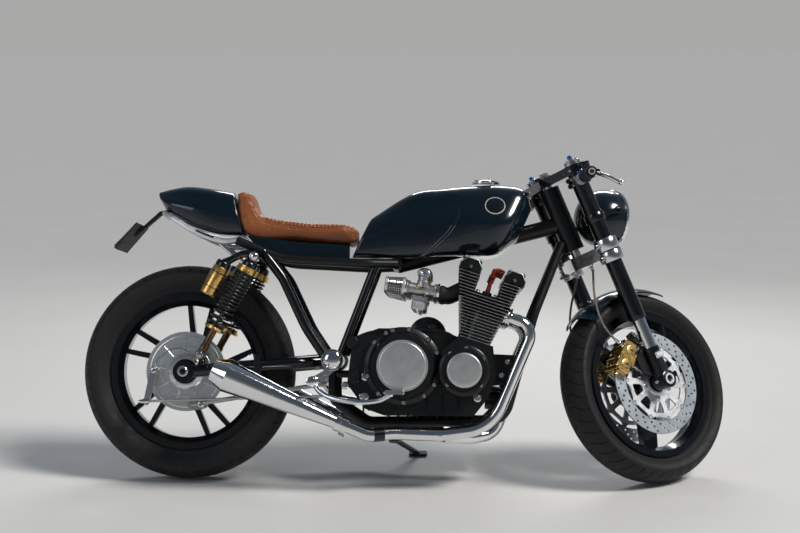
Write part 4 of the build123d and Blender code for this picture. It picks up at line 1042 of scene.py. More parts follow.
def filter_ring(along, y, radii):
    """A ring of points round a pod filter, so far behind its mouth."""
    return [at_carb(-46 - along, y + r * c, r * s) for r, (c, s) in zip(radii, around(len(radii)))]


pods = Shape()
for y in CYLINDERS:
    mouth = [(0, 21), (2, 24), (7, 24), (8, 30), (9, 31), (16, 31), (17, 29)]
    pods.lathe(at_carb(-46, y, 0), -carb_x, mouth, 48, 1)
    pods.lathe(at_carb(-49, y, 0), -carb_x, [(0, 25), (5, 25)], 40, 2)
    rows = []
    for t in (k / 8 for k in range(9)):
        radii = [28.4 - 5 * t + (-1.1 if k % 3 else 0.9) for k in range(144)]
        rows.append(filter_ring(16 + 47 * t, y, radii))
    pods.skin(rows)
    for along in (19 + 41 * k / 6 for k in range(7)):
        pods.tube(
            filter_ring(along, y, [29.6 - 5 * (along - 16) / 47] * 48), 0.7, 6, 3, closed=True
        )
    for ends in zip(filter_ring(16, y, [29.5] * 24), filter_ring(62, y, [24.6] * 24)):
        pods.tube(ends, 0.7, 6, 3)
    cap = [(0, 24), (0, 26), (6, 26), (8, 24), (8.5, 18), (7, 16), (7, 0)]
    pods.lathe(at_carb(-108, y, 0), -carb_x, cap, 48, 1)
pods.piece(
    "pleated_filters", "frame", ["pleat", "silver", "chrome", "polished"],
    stands_for=["air_filters"]
)

CLAMP = [
    (0, 22), (0, 29), (2, 31), (5, 31), (6, 27), (9, 27), (10, 31), (13, 31), (14, 27), (17, 27),
    (18, 30), (22, 30),
    (24, 23), (24, 20),
]
MUFFLER_FOOT = [
    (0, 20), (0.5, 26.4), (14, 26.4), (15, 25.2), (24, 25.2), (25, 26.4), (37, 26.4), (38, 22),
]
pipe_fit = Shape()
for y in CYLINDERS:
    pipe_fit.lathe(at_bores(60, y, 102), bore_x, CLAMP, 40)
    for dy in (-33, 33):
        pipe_fit.boss(at_bores(62, y + dy, 102), bore_x, 9, 8, 20)
        pipe_fit.bolt(at_bores(70, y + dy, 102), bore_x, 5.5, 8)
for side in SIDES:
    out = Y * side
    foot = Vector((508, side * 190, 172))
    way = (Vector((103, side * 217, 339)) - foot).normalized()
    knee = Vector((650, side * 160, 152))
    run = (foot - way * 70 - knee).normalized()
    pipe_fit.lathe(knee + run * 34, run, [(0, 19.5), (0.5, 21.2), (33, 21.2), (33.5, 19.5)], 40, 1)
    pipe_fit.lathe(
        (796, side * 150, 147.5), (-1, 0, -0.03), [(0, 19.5), (0.4, 21), (12, 21), (12.4, 19.5)], 40
    )
    pipe_fit.lathe(foot - way * 3, way, MUFFLER_FOOT, 56)
    pipe_fit.prism(foot + way * 8 - Z * 34, way, Z, [(-7, -2), (7, -2), (7, 10), (-7, 10)], 20, 1)
    pipe_fit.bolt(foot + way * 18 + out * 7 - Z * 30, out, 4, 6)
    pipe_fit.lathe(
        foot + way * 394, way, [(-1.6, 44.6), (-0.6, 45.9), (0.6, 45.9), (1.8, 44.4)], 96
    )
    pipe_fit.lathe(
        foot + way * 436, way, [(0, 25), (3.4, 26.2), (5, 24.5), (4, 20.6), (-60, 20)], 64
    )
    bracket = [(-14, 28), (14, 28), (8, 96), (-8, 96)]
    pipe_fit.slab(foot + way * 300 - out * 38, -side, Z, bracket, 4, 0.8, 2)
pipe_fit.piece("exhaust_fittings", "frame", ["chrome", "gloss_black", "satin_black"])

ARMS = 10
PITCH = 360 / ARMS
DISC_HOLES = ((129.5, 0), (141.0, 5), (152.5, 10))
ARM = (
    (-14, 108), (-8, 110), (-5.5, 113), (-3.4, 118.5), (3.4, 118.5), (5.5, 113), (8, 110), (14, 108)
)
WINDOW = ((8.5, 60), (27.5, 60), (30.5, 97), (5.5, 97))
BOBBIN = [(0, 7.6), (3.2, 7.6), (3.9, 6.8), (3.9, 3.6), (2.4, 3.2), (2.4, 0)]
hole_places = polar([(start + 15 * k, r) for r, start in DISC_HOLES for k in range(24)])
holes = [circle(3.7, 12, x, z) for x, z in hole_places]
carrier = polar([(PITCH * k + a, r) for k in range(ARMS) for a, r in ARM])
windows = [rounded(polar([(PITCH * k + a, r) for a, r in WINDOW]), 9) for k in range(ARMS)]
discs = Shape()
for side in SIDES:
    at, out = front_centre + Y * side * DISC_Y, Y * side
    cut_plate(discs, at, X, Z, [circle(160, 144), circle(119.5, 120)] + holes, 5, 0.4)
    cut_plate(discs, at, X, Z, [carrier, circle(38, 48)] + windows, 5.6, 0.6, 1)
    for c, s in around(ARMS):
        for face in SIDES:
            discs.lathe(at + X * 115.5 * c + Z * 115.5 * s, Y * face, BOBBIN, 24, 2)
    for c, s in around(5, math.radians(54)):
        discs.screw(at + (X * c + Z * s) * 48 + out * 2.8, out, 6, 6, 3)
    discs.lathe(at, out, [(2.4, 40), (6, 40), (7, 38.5), (7, 30)], 64, 1)
discs.piece(
    "drilled_discs", "front_wheel_body", ["rotor", "silver", "cast", "chrome"], STEERED,
    ["front_discs"]
)

# The calipers sit behind the legs; their outlines are radial and along the rim
HALF_CALIPER = rounded([
    (-30, -36), (-30, 36), (-18, 54), (12, 54), (30, 36), (25, 12), (30, 0), (25, -12), (30, -36),
    (12, -54), (-18, -54),
], 7)
CALIPER_FACE = rounded([(-24, -11), (-24, 11), (20, 9), (20, -9)], 4)
PADS = rounded([(-24, -38), (-24, 38), (14, 38), (14, -38)], 5)
CALIPER_ANGLE = 152
radial, along = tilted(-CALIPER_ANGLE)
calipers = Shape()
for side in SIDES:
    out = Y * side
    mid = front_centre + out * DISC_Y + radial * 142
    for face in SIDES:
        outer = face == side
        calipers.slab(mid + Y * face * 5.2, face, along, HALF_CALIPER, 25 if outer else 23, 2.5)
    for t in (-25, 25):
        for face in SIDES:
            way = Y * face
            spot = mid + along * t - radial * 4 + way * (28 if face == side else 26)
            calipers.lathe(spot, way, [(0, 20), (2.2, 19), (3.6, 17.5), (4.0, 15), (4.0, 0)], 44)
            calipers.boss(spot + way * 3.6, way, 6.5, 1.9, 28, 1, edge=0.5, drop=0.7)
    calipers.slab(mid + out * 29, side, along, CALIPER_FACE, 2.6, 1.0)
    for r, t in ((21, 46), (21, -46), (24, 20), (24, -20)):
        spot = mid + radial * r + along * t
        calipers.rod(spot - Y * 4, Y, 7.4, -24, 30, 26)
        for face in SIDES:
            calipers.screw(spot + Y * face * 29.5, Y * face, 5, 5, 1)
    for t in (-14, 0, 14):
        calipers.rod(mid + radial * 22 + along * t - Y * 12, Y, 3, 0, 24, 14, 1)
    union = [(0, 6), (8, 6), (9, 4), (16, 3.4), (18, 4.2), (20, 0)]
    calipers.lathe(mid + radial * 8 + along * 50 + out * 12, along, union, 20, 1)
    for t in (30, -30):
        calipers.boss(mid - radial * 22 + along * t + out * 29, out, 7, 3.6, 22, 2, edge=0.6)
    for face in SIDES:
        calipers.slab(mid + Y * face * 2.9, face, along, PADS, 3.4, 0.4, 2)
calipers.piece(
    "gold_calipers", "steering", ["gold", "chrome", "satin_black"], STEERED, ["calipers"]
)

# The hoses run from the bottom clamp to the calipers, in the fork's frame
HOSE = (
    (4, 40, 415.7), (4, 41, 396), (-18, 48, 366), (-52, 62, 318), (-78, 76, 258), (-78, 84, 198),
    (-48, 84, 155)
)
HOSE_RADIUS = 3.5
EYE = [(-2, 0), (-2, 7.5), (0, 7.5), (0, 8.2), (9, 8.2), (9, 7.5), (11, 7.5), (11, 0)]
SLEEVE = [(0, 3.6), (0, 5.6), (14, 5.6), (15, 4.8), (22, 4.8), (23, 3.6)]
hose_ends = Shape()
for side in SIDES:
    out = Y * side
    route = [at_fork(x, side * y, s) for x, y, s in HOSE]
    line = bpy.data.curves.new("brake_hose_%s" % ("left" if side > 0 else "right"), "CURVE")
    line.dimensions = "3D"
    line.resolution_u = 12
    line.bevel_depth = HOSE_RADIUS * MM
    line.bevel_resolution = 4
    run = line.splines.new("NURBS")
    run.points.add(len(route) - 1)
    for point, spot in zip(run.points, route):
        point.co = (*(STEERED @ spot), 1)
    run.order_u = 3
    run.use_endpoint_u = True
    line.materials.append(M["hose"])
    hose = add_object(line.name, line)
    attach(hose, "steering")
    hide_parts("brake_hoses")
    for end, inner in ((route[0], route[1]), (route[-1], route[-2])):
        way = (inner - end).normalized()
        hose_ends.lathe(end, way, SLEEVE, 22)
        hose_ends.lathe(end - way - out * 7, out, EYE, 26)
        hose_ends.bolt(end - way + out * 4, out, 6, 6)
hose_ends.piece("hose_fittings", "steering", ["chrome"], STEERED)

fork = Shape()
NAMEPLATE = rounded([(-16, -9), (16, -9), (16, 9), (-16, 9)], 2)
for side in SIDES:
    y, out = side * LEG_Y, Y * side
    axle = front_centre + out * 129.2
    for low, high in ((399.5, 432), (436, 473.5)):
        tall = high - low
        collar = [(0, 34), (0, 36.4), (1.5, 37.4), (tall - 1.5, 37.4), (tall, 36.4), (tall, 34)]
        fork.lathe(at_fork(LEG_X, y, low), fork_z, collar, 72)
    fork.lathe(at_fork(LEG_X, y, 431), fork_z, [(0, 35.8), (6, 35.8)], 64, 1)
    for s in (414, 456):
        fork.rod(at_fork(2, y - side * 6, s), out, 8, 0, 12, 24)
        fork.screw(at_fork(2, y + side * 6, s), out, 5.5, 7)
    seal = [(-14, 27.3), (0, 27.3), (3, 25.5), (5, 25.5), (6, 22.4), (6, 21.6)]
    fork.lathe(at_fork(LEG_X, y, 207), -fork_z, seal, 56, 1)
    fork.lathe(
        at_fork(LEG_X, y, 722), fork_z, [(0, 27), (13, 27), (15, 25), (15, 19), (19, 19), (19, 0)],
        56
    )
    fork.bolt(at_fork(LEG_X, y, 737), fork_z, 12, 8)
    adjuster = [(0, 8), (9, 8), (10, 7), (13, 7), (14, 6), (14, 0)]
    fork.lathe(at_fork(LEG_X, y, 741), fork_z, adjuster, 28, 4)
    fork.lathe(at_fork(LEG_X, y, 96), fork_z, [(0, 25.4), (12, 25.4), (14, 23), (14, 21.6)], 56, 1)
    ring = [(-2, 0), (-2, 17.4), (2.4, 17.4), (3.6, 16.4), (3.6, 11), (0.5, 10.6), (0.5, 10)]
    fork.lathe(axle, out, ring, 48, 2)
    # A black disc in the ring's centre: painted shade standing for the hollow axle's bore
    fork.lathe(axle + out, out, [(0, 10.8), (0, 0)], 40, 1)
    fork.lathe(axle - out * 2.2, out, [(0, 27.4), (2.2, 27), (3, 25.6), (3, 12)], 56, 1)
    fork.lathe(front_centre + out * 82, -out, [(0, 26), (6, 26), (8, 24), (8, 12)], 48, 1)
    for x, s in ((45, -6), (45, 22), (-11, 6)):
        fork.screw(at_fork(x, y + side * 22, s), out, 4.9, 6, 3)
    fork.boss(at_fork(14, side * 97, 128), out, 11, 7, 28, 1)
    fork.screw(at_fork(14, side * 103, 128), out, 6.5, 7, 3)
    fork.boss(at_fork(0, side * 97, 164), out, 9, 6, 28, 1)
    fork.screw(at_fork(0, side * 102, 164), out, 6, 7, 3)
    fork.slab(at_fork(43, side * 126.5, 80), side, fork_z, NAMEPLATE, 3.4, 0.5, 2)
    for lift, wide, high, mark in ((129.4, 0.84, 0.78, 1), (129.8, 0.76, 0.66, 2)):
        panel = [(wide * a, high * b) for a, b in NAMEPLATE]
        fork.slab(at_fork(43, side * lift, 80), side, fork_z, panel, 1.0, 0.3, mark)
FORK_FINISHES = ["polished", "gloss_black", "silver", "chrome", "blue"]
fork.piece("fork_details", "steering", FORK_FINISHES, STEERED)

top_nut = Shape()
top_nut.boss(at_fork(0, 0, 722), fork_z, 22, 4, 48, drop=1.5)
top_nut.bolt(at_fork(0, 0, 726), fork_z, 17, 13)
for side in SIDES:
    for k in (-1, 1):
        top_nut.screw(at_fork(7, side * LEG_Y + k * 16, 708), -fork_x, 5, 6)
    edge = [at_fork(x, y, 722) for x, y in circle(35.6, 48, LEG_X, side * LEG_Y)]
    top_nut.tube(edge, 0.9, 8, 1, closed=True)
lock = [(0, 14), (8, 14), (9, 12.5), (9, 4), (6, 4), (6, 0)]
top_nut.lathe(at_fork(-22, 0, 722), fork_z, lock, 36, 2)
top_nut.piece("steering_nut", "steering", ["chrome", "gloss_black", "satin_black"], STEERED)

light_at = at_fork(150, 0, 545)
bowl = [(-78, 0)]
for t in (math.pi / 2 * k / 26 for k in range(1, 27)):
    bowl.append((20 - 98 * math.cos(t), 94 * math.sin(t) ** 0.86))
bowl += [(34, 94), (36, 94.4), (36, 90), (30, 88), (-20, 78), (-50, 40), (-54, 0)]
rim = [(36, 90), (36, 95.6), (37.5, 97), (44, 97.2), (47, 96), (49.5, 92.5), (49.5, 89.5), (44, 89)]
reflector = [(0, 0), (0, 12), (8, 18), (30, 50), (56, 74), (76, 87), (78, 87)]
EAR = [
    (69, 533), (98, 538), (142, 536), (157, 539), (160, 545), (157, 551), (142, 554), (98, 552),
    (69, 557)
]
lamp = Shape()
lamp.lathe(light_at, X, bowl, 96)
lamp.lathe(light_at, X, rim, 96, 1)
lamp.lathe(light_at - X * 40, X, reflector, 72, 1)
lamp.lathe(light_at - X * 34, X, [(0, 9), (22, 9), (34, 8), (42, 5), (45, 0)], 32, 2)
for side in SIDES:
    out = Y * side
    lamp.boss(at_fork(150, side * 92, 545), out, 12, 9, 28, 3)
    lamp.bolt(at_fork(150, side * 103, 545), out, 5.5, 5, 3)
    collar = [(0, 27.2), (0, 31.5), (1.5, 32.5), (26.5, 32.5), (28, 31.5), (28, 27.2)]
    lamp.lathe(at_fork(LEG_X, side * LEG_Y, 531), fork_z, collar, 64, 3)
    lamp.slab(at_fork(0, side * 96.5, 0), side, fork_z, EAR, 4, 0.8, 3)
LAMP_FINISHES = ["navy", "chrome", "glass", "gloss_black"]
lamp.piece("headlight_bowl", "steering", LAMP_FINISHES, STEERED, ["headlight_shell"])

GRIP_RIBS = 14
ball = [(-9, 0)] + [
    (-9 * math.cos(math.pi * k / 14), 9 * math.sin(math.pi * k / 14)) for k in range(1, 14)
] + [(9, 0)]
bars = Shape()
grips = Shape()
for side in SIDES:
    out = Y * side
    root, tip = at_fork(LEG_X, side * LEG_Y, 672), at_fork(-104, side * 330, 660)
    bar = tip - root
    way, length = bar.normalized(), bar.length
    clamp = [(0, 27.2), (0, 34), (1.5, 35), (32.5, 35), (34, 34), (34, 27.2)]
    bars.lathe(at_fork(LEG_X, side * LEG_Y, 655), fork_z, clamp, 64)
    for s in (663, 681):
        bars.rod(at_fork(6, side * 97, s), out, 7.5, -6, 12, 24)
        bars.screw(at_fork(6, side * 109, s), out, 5, 6, 1)
    bars.tube([root + way * 28, root + bar * 0.26], 11.2, 32, 2 if side > 0 else 0)
    bars.tube([root + bar * 0.26, root + bar * 0.49], 11, 32)
    bars.lathe(
        root + way * 38, way, [(0, 11), (0, 17), (1, 18), (21, 18), (22, 17), (22, 11)], 40, 2
    )
    bars.lathe(root + way * 72, way, [(0, 11), (0, 15), (16, 15), (16, 11)], 40)
    perch = 0.40 * length
    ring = [(0, 11), (0, 17.5), (1.2, 19), (24.8, 19), (26, 17.5), (26, 11)]
    bars.lathe(root + way * (perch - 13), way, ring, 44, 2)
    for t in (49, perch):
        bars.boss(root + way * t + fork_z * 14, fork_z, 6, 8, 20, 4)
        bars.screw(root + way * t + fork_z * 21, fork_z, 4.4, 6, 4)
    mount = rounded([(side * a, b) for a, b in ((6, -9), (6, 9), (-52, 7), (-52, -7))], 5)
    bars.prism(root + way * (perch - 9), way, fork_z, mount, 18, 1.5)
    pivot = root + way * perch + fork_x * 42
    bars.boss(pivot - fork_z * 10, fork_z, 8, 21, 26, 2)
    lever_end = pivot + bar * 0.5 + (fork_x - fork_z) * 58
    middle = pivot + bar * 0.33 + (fork_x - fork_z) * 25
    blade = through(
        [pivot, pivot + bar * 0.14 - fork_x * 4, middle, lever_end - bar * 0.08, lever_end], 40
    )
    bars.tube(blade, [5.2 + 0.8 * math.sin(k / 39 * math.pi) for k in range(40)], 16, 1)
    bars.lathe(lever_end, bar, ball, 26, 1)
    if side < 0:
        pot = [(0, 13), (3, 15.5), (26, 17), (28, 18.5), (33, 18.5), (35, 17), (35, 0)]
        bars.lathe(root + way * (perch - 26) + fork_x * 26 + fork_z * 10, fork_z, pot, 40)
        pump = [(0, 0), (0, 10.5), (36, 10.5), (38, 8), (38, 0)]
        bars.lathe(root + way * (perch - 30) + fork_x * 25, way, pump, 30)
    start, run = root + bar * 0.48, 0.52 * length
    sleeve = [
        (0, 11.2), (0, 19), (1, 20), (4, 20), (5, 17.6), (run - 14, 17.2), (run - 13, 16.2),
        (run - 4, 16.2),
        (run - 3, 17.0), (run, 16.6), (run, 12),
    ]
    grips.lathe(start, way, sleeve, 48)
    for k in range(GRIP_RIBS):
        grips.lathe(
            start + way * (12 + 7 * k), way, [(0, 17.2), (0.8, 18.1), (3.4, 18.1), (4.2, 17.2)], 44
        )
    grips.lathe(tip, way, [(-2, 12.6), (1.0, 13.2), (3.6, 12.2), (4.2, 10.6), (4.2, 0)], 40)
    grips.lathe(tip, way, [(4.0, 6.6), (5.0, 7.2), (5.0, 9.6), (4.0, 10.2)], 40, 1)
BAR_FINISHES = ["gloss_black", "chrome", "silver", "satin_black", "blue"]
bars.piece("clip_on_bars", "steering", BAR_FINISHES, STEERED, ["handlebars"])
grips.piece("rubber_grips", "steering", ["rubber", "silver"], STEERED, ["grips"])

TURNS_LOW, TURNS_HIGH, COIL_STEPS = 3.6, 10.2, 360
RESERVOIR = [
    (19, 22), (19, 25), (20, 25.6), (62, 25.6), (62.5, 24.9), (63.5, 24.9), (64, 25.6), (70, 25.6),
    (70.5, 24.9),
    (71.5, 24.9), (72, 25.6), (109, 25.6), (111, 24), (113, 20), (113, 0),
]
dome = [(2 + 6 * math.sin(k * math.pi / 16), 12 * math.cos(k * math.pi / 16)) for k in range(1, 8)]
EYE_CAP = [(0, 14), (1.5, 14), (2, 13), (2, 12.5), *dome, (8, 0)]
shocks = Shape()
springs = Shape()
for side in SIDES:
    y, out = side * SHOCK_Y, Y * side
    low, high = Vector((54, y, 385)), Vector((216, y, 686))
    axis, span = (high - low).normalized(), (high - low).length
    for eye, r in ((low, 15), (high, 16)):
        shocks.lathe(
            eye - Y * 14, Y, [(0, 9), (0, r - 1), (1, r), (27, r), (28, r - 1), (28, 9)], 44, 1
        )
        shocks.rod(eye - Y * 14.3, Y, 9.6, 0, 28.6, 32, 4)
    shocks.lathe(high + out * 14, out, EYE_CAP, 44, 2)
    shocks.lathe(
        low + out * 14, out, [(0, 13), (2, 13), (2.4, 9), (6, 8.5), (9, 6), (10, 0)], 40, 2
    )
    top = span - 57
    stack = (
        ([(8, 0), (8, 12), (16, 13.5), (30, 13.5), (34, 11.5), (84, 11.5), (84, 0)], 36, 3),
        (
            [(84, 11), (84, 20), (87, 30), (88, 33), (93, 33), (94, 31.5), (96, 31.5), (96, 12)],
            52, 0
        ),
        ([(96, 20), (96, 23.5), (101, 23.5), (102, 22), (102, 8)], 44, 1),
        (
            [(96, 8), (150, 8), (150, 20), (152, 21), (top - 1, 21), (top - 1, 8)], 44,
            2 if side > 0 else 1
        ),
        ([
            (top, 20), (top, 31), (top + 1.5, 33), (top + 11, 33), (top + 12.5, 31.5),
            (top + 14, 31.5),
            (top + 15.5, 33), (top + 19, 33), (top + 20, 30), (top + 20, 24),
        ], 56, 0),
        (
            [
                (top + 20, 24.5), (top + 32, 24.5), (top + 34, 22.5), (top + 40, 21),
                (top + 43, 14), (top + 43, 0)
            ],
            48, 1
        ),
    )
    for profile, count, mark in stack:
        shocks.lathe(low, axis, profile, count, mark)
    side_a = axis.orthogonal().normalized()
    side_b = axis.cross(side_a)
    for c, s in around(10):
        spot = low + axis * (top + 3) + (side_a * c + side_b * s) * 32.6
        shocks.tube([spot, spot + axis * 6], 1.5, 8, 1)
    pot = Vector((125, y, 669))
    shocks.lathe(
        pot, -axis, [(-1, 0), (-1, 20), (2, 23), (6, 24), (16, 24), (17, 22.8), (19, 22.8)], 52, 1
    )
    shocks.lathe(pot, -axis, RESERVOIR, 60)
    for low_band, high_band in ((36, 40), (86, 89)):
        band = [
            (low_band, 25.4), (low_band + 0.2, 25.9), (high_band - 0.2, 25.9), (high_band, 25.4)
        ]
        shocks.lathe(pot, -axis, band, 60, 1)
    bridge = through(
        [high + axis * 2, high - X * 34 + Z * 8, pot + axis * 6 + X * 12, pot - axis * 4], 16
    )
    radii = [13, 13, 13, 12.5, 12, 12, 11.5, 11.5, 11, 11, 11.5, 12, 12.5, 13, 13.5, 14]
    shocks.tube(bridge, radii, 24, 1)
    shocks.boss(pot + axis * 0.5, axis, 8, 5, 24, 2)
    coil = []
    for k in range(COIL_STEPS + 1):
        u = k / COIL_STEPS * (TURNS_LOW + TURNS_HIGH)
        if u < TURNS_LOW:
            height = 0.36 * u / TURNS_LOW
        else:
            height = 0.36 + 0.64 * (u - TURNS_LOW) / TURNS_HIGH
        a = 2 * math.pi * u
        spot = low + axis * (99 + (top - 99) * height)
        coil.append(spot + (side_a * math.cos(a) + side_b * math.sin(a)) * 28.6)
    springs.tube(coil, 4.1, 12)
SHOCK_FINISHES = ["gold", "gloss_black", "chrome", "umber", "steel"]
shocks.piece("shock_details", "frame", SHOCK_FINISHES, stands_for=["shock_bodies"])
springs.piece("coil_springs", "frame", ["spring"], stands_for=["shock_springs"])

PIVOT_CAP = [
    (-2, 33.4), (2, 33.4), (3, 32.4), (3, 30.4), (2.4, 29.6), (4.5, 28.6), (8.4, 24.4), (11.2, 17),
    (12.8, 9), (13.2, 0),
]
PEG_ROOT = [
    (142, 12), (142, 17), (150, 17), (152, 13.4), (164, 13.4), (166, 15), (168, 15), (168, 12)
]
LEVER_HUB = [
    (159, 12), (159, 16), (160, 17), (175, 17), (176, 16), (177.5, 13), (180.5, 11.5), (183, 7),
    (184, 0)
]
LEVER = (
    (402, 168, 306), (424, 178, 276), (462, 191, 257), (533, 210, 245), (600, 223, 250),
    (634, 228, 266), (648, 229, 275),
)
peg = Vector((402, 0, 306))
pivot = Shape()
levers = Shape()
for side in SIDES:
    out = Y * side
    at = Vector((458, side * 140, 372))
    pivot.lathe(at, out, PIVOT_CAP, 72)
    pivot.lathe(at, out, [(1.6, 29.2), (3.2, 30.0), (1.6, 30.8)], 72, 1)
    for x, z, r in ((413, 346, 6.5), (436, 330, 6), (409, 312, 9)):
        pivot.screw((x, side * 142, z), out, r, 8)
    pivot.lathe(peg, out, PEG_ROOT, 40)
    for y in range(172, 257, 7):
        pivot.lathe(peg, out, [(y, 12), (y + 0.6, 13.8), (y + 4.4, 13.8), (y + 5, 12)], 36, 2)
    pivot.lathe(peg, out, [(262, 13.5), (264, 13.5), (265, 12), (265, 0)], 36)
    for x, z, r in ((499, 295, 8), (552, 262, 7), (560, 322, 8.5)):
        pivot.boss((x, side * 150, z), out, r * 1.5, 6, 32, 1, drop=0.15 * r)
        pivot.bolt((x, side * 156, z), out, r, 7)
    arm = through([(x, side * y, z) for x, y, z in LEVER], 46)
    levers.tube(arm, [8.6 - 1.2 * k / 45 for k in range(46)], 20)
    levers.lathe(peg, out, LEVER_HUB, 40)
    pad = rounded([(-28, -6.5), (28, -6.5), (32, 0), (28, 6.5), (-28, 6.5), (-32, 0)], 5)
    levers.slab((652, side * 222, 276), side, Z, pad, 40, 2.5)
    for x in range(629, 675, 9):
        levers.tube([(x, side * 224, 282.2), (x, side * 260, 282.2)], 1.1, 8, 1)
    levers.screw((402, side * 183, 306), out, 4.5, 4, 1)
pivot.piece("pivot_caps", "frame", ["chrome", "gloss_black", "polished"])
levers.piece("pedal_and_lever", "frame", ["chrome", "polished"], stands_for=["foot_levers"])

# The brake panel, on the right: beads, ribs, lug, arm, rod end and wire
drum = Shape()
right = -Y
panel_at = rear_centre + right * 86
drum.lathe(
    panel_at, right, [(-1, 112), (0.8, 112), (1.4, 111), (1.4, 108), (0.4, 107.4), (-1, 107.4)], 128
)
drum.lathe(panel_at, right, [(-1, 80), (0.3, 79.6), (0.9, 78.6), (0.3, 77.6), (-1, 77)], 128)
drum.lathe(
    panel_at, right, [(-1, 57), (3, 55), (7.5, 47), (11.2, 41.5), (12.9, 40.4), (12.9, 38)], 96
)
drum.lathe(panel_at, right, [(12.7, 38.5), (14, 37.5), (14, 26), (12.7, 25)], 72, 1)
for c, s in around(9, math.radians(12)):
    spoke = X * c + Z * s
    drum.tube(
        [panel_at + right * 0.6 + spoke * 60, panel_at + right * 0.2 + spoke * 104], [2.4, 1.4], 10
    )
drum.slab((0, -101, 0), 1, Z, rounded([(11, 245), (76, 254), (71, 221), (27, 211)], 10), 9, 1.6, 2)
drum.slab((0, -92, 0), 1, Z, rounded([(6, 258), (84, 266), (78, 240), (14, 230)], 10), 12, 1.6)
drum.boss((52, -101, 232), right, 10, 5, 32)
drum.bolt((52, -106, 232), right, 7, 7, 3)
BRAKE_ARM = [
    (-105, 345), (-96, 350), (-86, 345), (-84, 336), (-109, 232), (-114, 227), (-123, 228),
    (-126, 235)
]
drum.slab((0, -115, 0), 1, Z, rounded(BRAKE_ARM, 6), 9.6, 2.0, 3)
drum.boss((-95, -115, 335), right, 8.5, 5, 28, 3, drop=1.5)
drum.bolt((-95, -120, 335), right, 5.5, 6, 3)
drum.boss((-118, -104, 240), right, 8, 25, 28, 3)
drum.lathe(
    (-118, -129, 240), (-1, 0, -0.04), [(-14, 0), (-14, 6.5), (12, 6.5), (14, 5), (22, 4), (22, 0)],
    24, 3
)
WIRE = ((-95, -121, 335), (-78, -124, 372), (-46, -118, 398), (-12, -108, 402), (16, -104, 388))
drum.tube(through(WIRE, 30), 1.7, 10, 3)
drum.lathe((0, -98.7, 333), right, [(0, 30), (4, 29), (6, 26), (6, 0)], 56, 1)
drum.boss((0, -104.7, 333), right, 19, 7, 48, 3, edge=2, drop=2)
axle_end = min((to_bike @ v.co).y for v in nodes["rear_axle"].data.vertices)
drum.lathe(
    (0, axle_end + 0.5, 333), right, [(0, 15), (1.6, 15), (2.6, 13.6), (2.6, 9), (0.6, 8.6)], 48, 3
)
# A black disc inside the ring: painted shade standing for the hollow axle's bore
drum.lathe((0, axle_end - 0.3, 333), right, [(0, 9), (0, 0)], 36, 1)
drum.piece("brake_panel_details", "frame", ["brake", "gloss_black", "steel", "chrome"])

# Rear hoop under the tail, with a short brace and a thin black line on each side
HOOP = (
    (156, 115, 739), (128, 115, 735), (99, 113, 738), (58, 110, 751), (10, 106, 773),
    (-29, 99, 796), (-62, 84, 816),
    (-80, 52, 828),
)
hoop = Shape()
halves = [[(x, side * y, z) for x, y, z in HOOP] for side in SIDES]
hoop.tube(through(halves[0] + [(-85, 0, 832)] + halves[1][::-1], 120), 9.5, 24)
for side in SIDES:
    hoop.tube([(102, side * 109, 730), (157, side * 112, 683)], 6, 16, 2)
    hoop.tube(
        through([(86, side * 121.5, 747), (56, side * 119, 757), (28, side * 116.5, 769)], 12), 2.6,
        12, 1
    )
hoop.piece("rear_hoop", "frame", ["silver", "gloss_black", "chrome"])

plate = Shape()
plate_up, plate_out = Vector((0.69, 0, 0.72)).normalized(), Vector((-0.72, 0, 0.69)).normalized()
plate_at = Vector((-197, 0, 755)) + plate_out * 4.2
sheet = rounded([(-86, -50), (86, -50), (86, 50), (-86, 50)], 8)
cut_plate(plate, plate_at, Y, plate_up, [sheet], 1.6, 0.3)
rim = rounded([(-82, -46), (82, -46), (82, 46), (-82, 46)], 6)
plate.tube([plate_at + Y * a + plate_up * b + plate_out for a, b in rim], 0.8, 8, closed=True)
for a, b in ((-70, 38), (70, 38), (-70, -38), (70, -38)):
    plate.screw(plate_at + Y * a + plate_up * b + plate_out * 0.8, plate_out, 4, 3.4, 1)
plate.piece("blank_plate", "frame", ["cream", "chrome"])

BADGE_RIM = [
    (0, 0), (0, 31.5), (5.6, 31.5), (6.6, 30.8), (6.8, 29.6), (6.2, 28.8), (5.4, 28.6), (5.4, 27.4)
]
tank_skin = BVHTree.FromPolygons([Vector(v) for v in tank.verts], tank.faces)
badges = Shape()
for side in SIDES:
    hit, facing, _, _ = tank_skin.ray_cast(Vector((953, side * 300, 852)), Y * -side, 400)
    if facing.y * side < 0:
        facing = -facing
    badges.lathe(hit - facing * 4, facing, BADGE_RIM, 72, 1)
    badges.lathe(hit - facing * 4, facing, [(5.5, 28.9), (5.9, 27.5), (6.6, 14), (6.8, 0)], 72)
badges.piece("blank_badges", "frame", ["navy", "cream"])

cap = Shape()
cap_at = Vector((925, 0, 912))
cap.lathe(cap_at, Z, [(17, 44.6), (19, 46), (21.5, 46), (23, 44.5), (23.5, 41), (23.5, 36)], 72)
cap.lathe(cap_at, Z, [(26.6, 34.4), (28, 34), (29.6, 31), (30.4, 24), (30.8, 12), (30.9, 0)], 72)
for c, s in around(6, math.radians(30)):
    cap.screw(cap_at + Vector((40 * c, 40 * s, 23)), Z, 3.2, 3)
cap.prism(
    cap_at + Vector((-34, -9, 24)), Z, Y, rounded([(-2, 0), (16, 0), (16, 18), (-2, 18)], 3), 8, 1
)
cap.boss(cap_at + Vector((8, 0, 30.4)), Z, 8, 2, 32, 1, edge=0.4)
cap.piece("filler_cap_details", "frame", ["chrome", "gloss_black"])

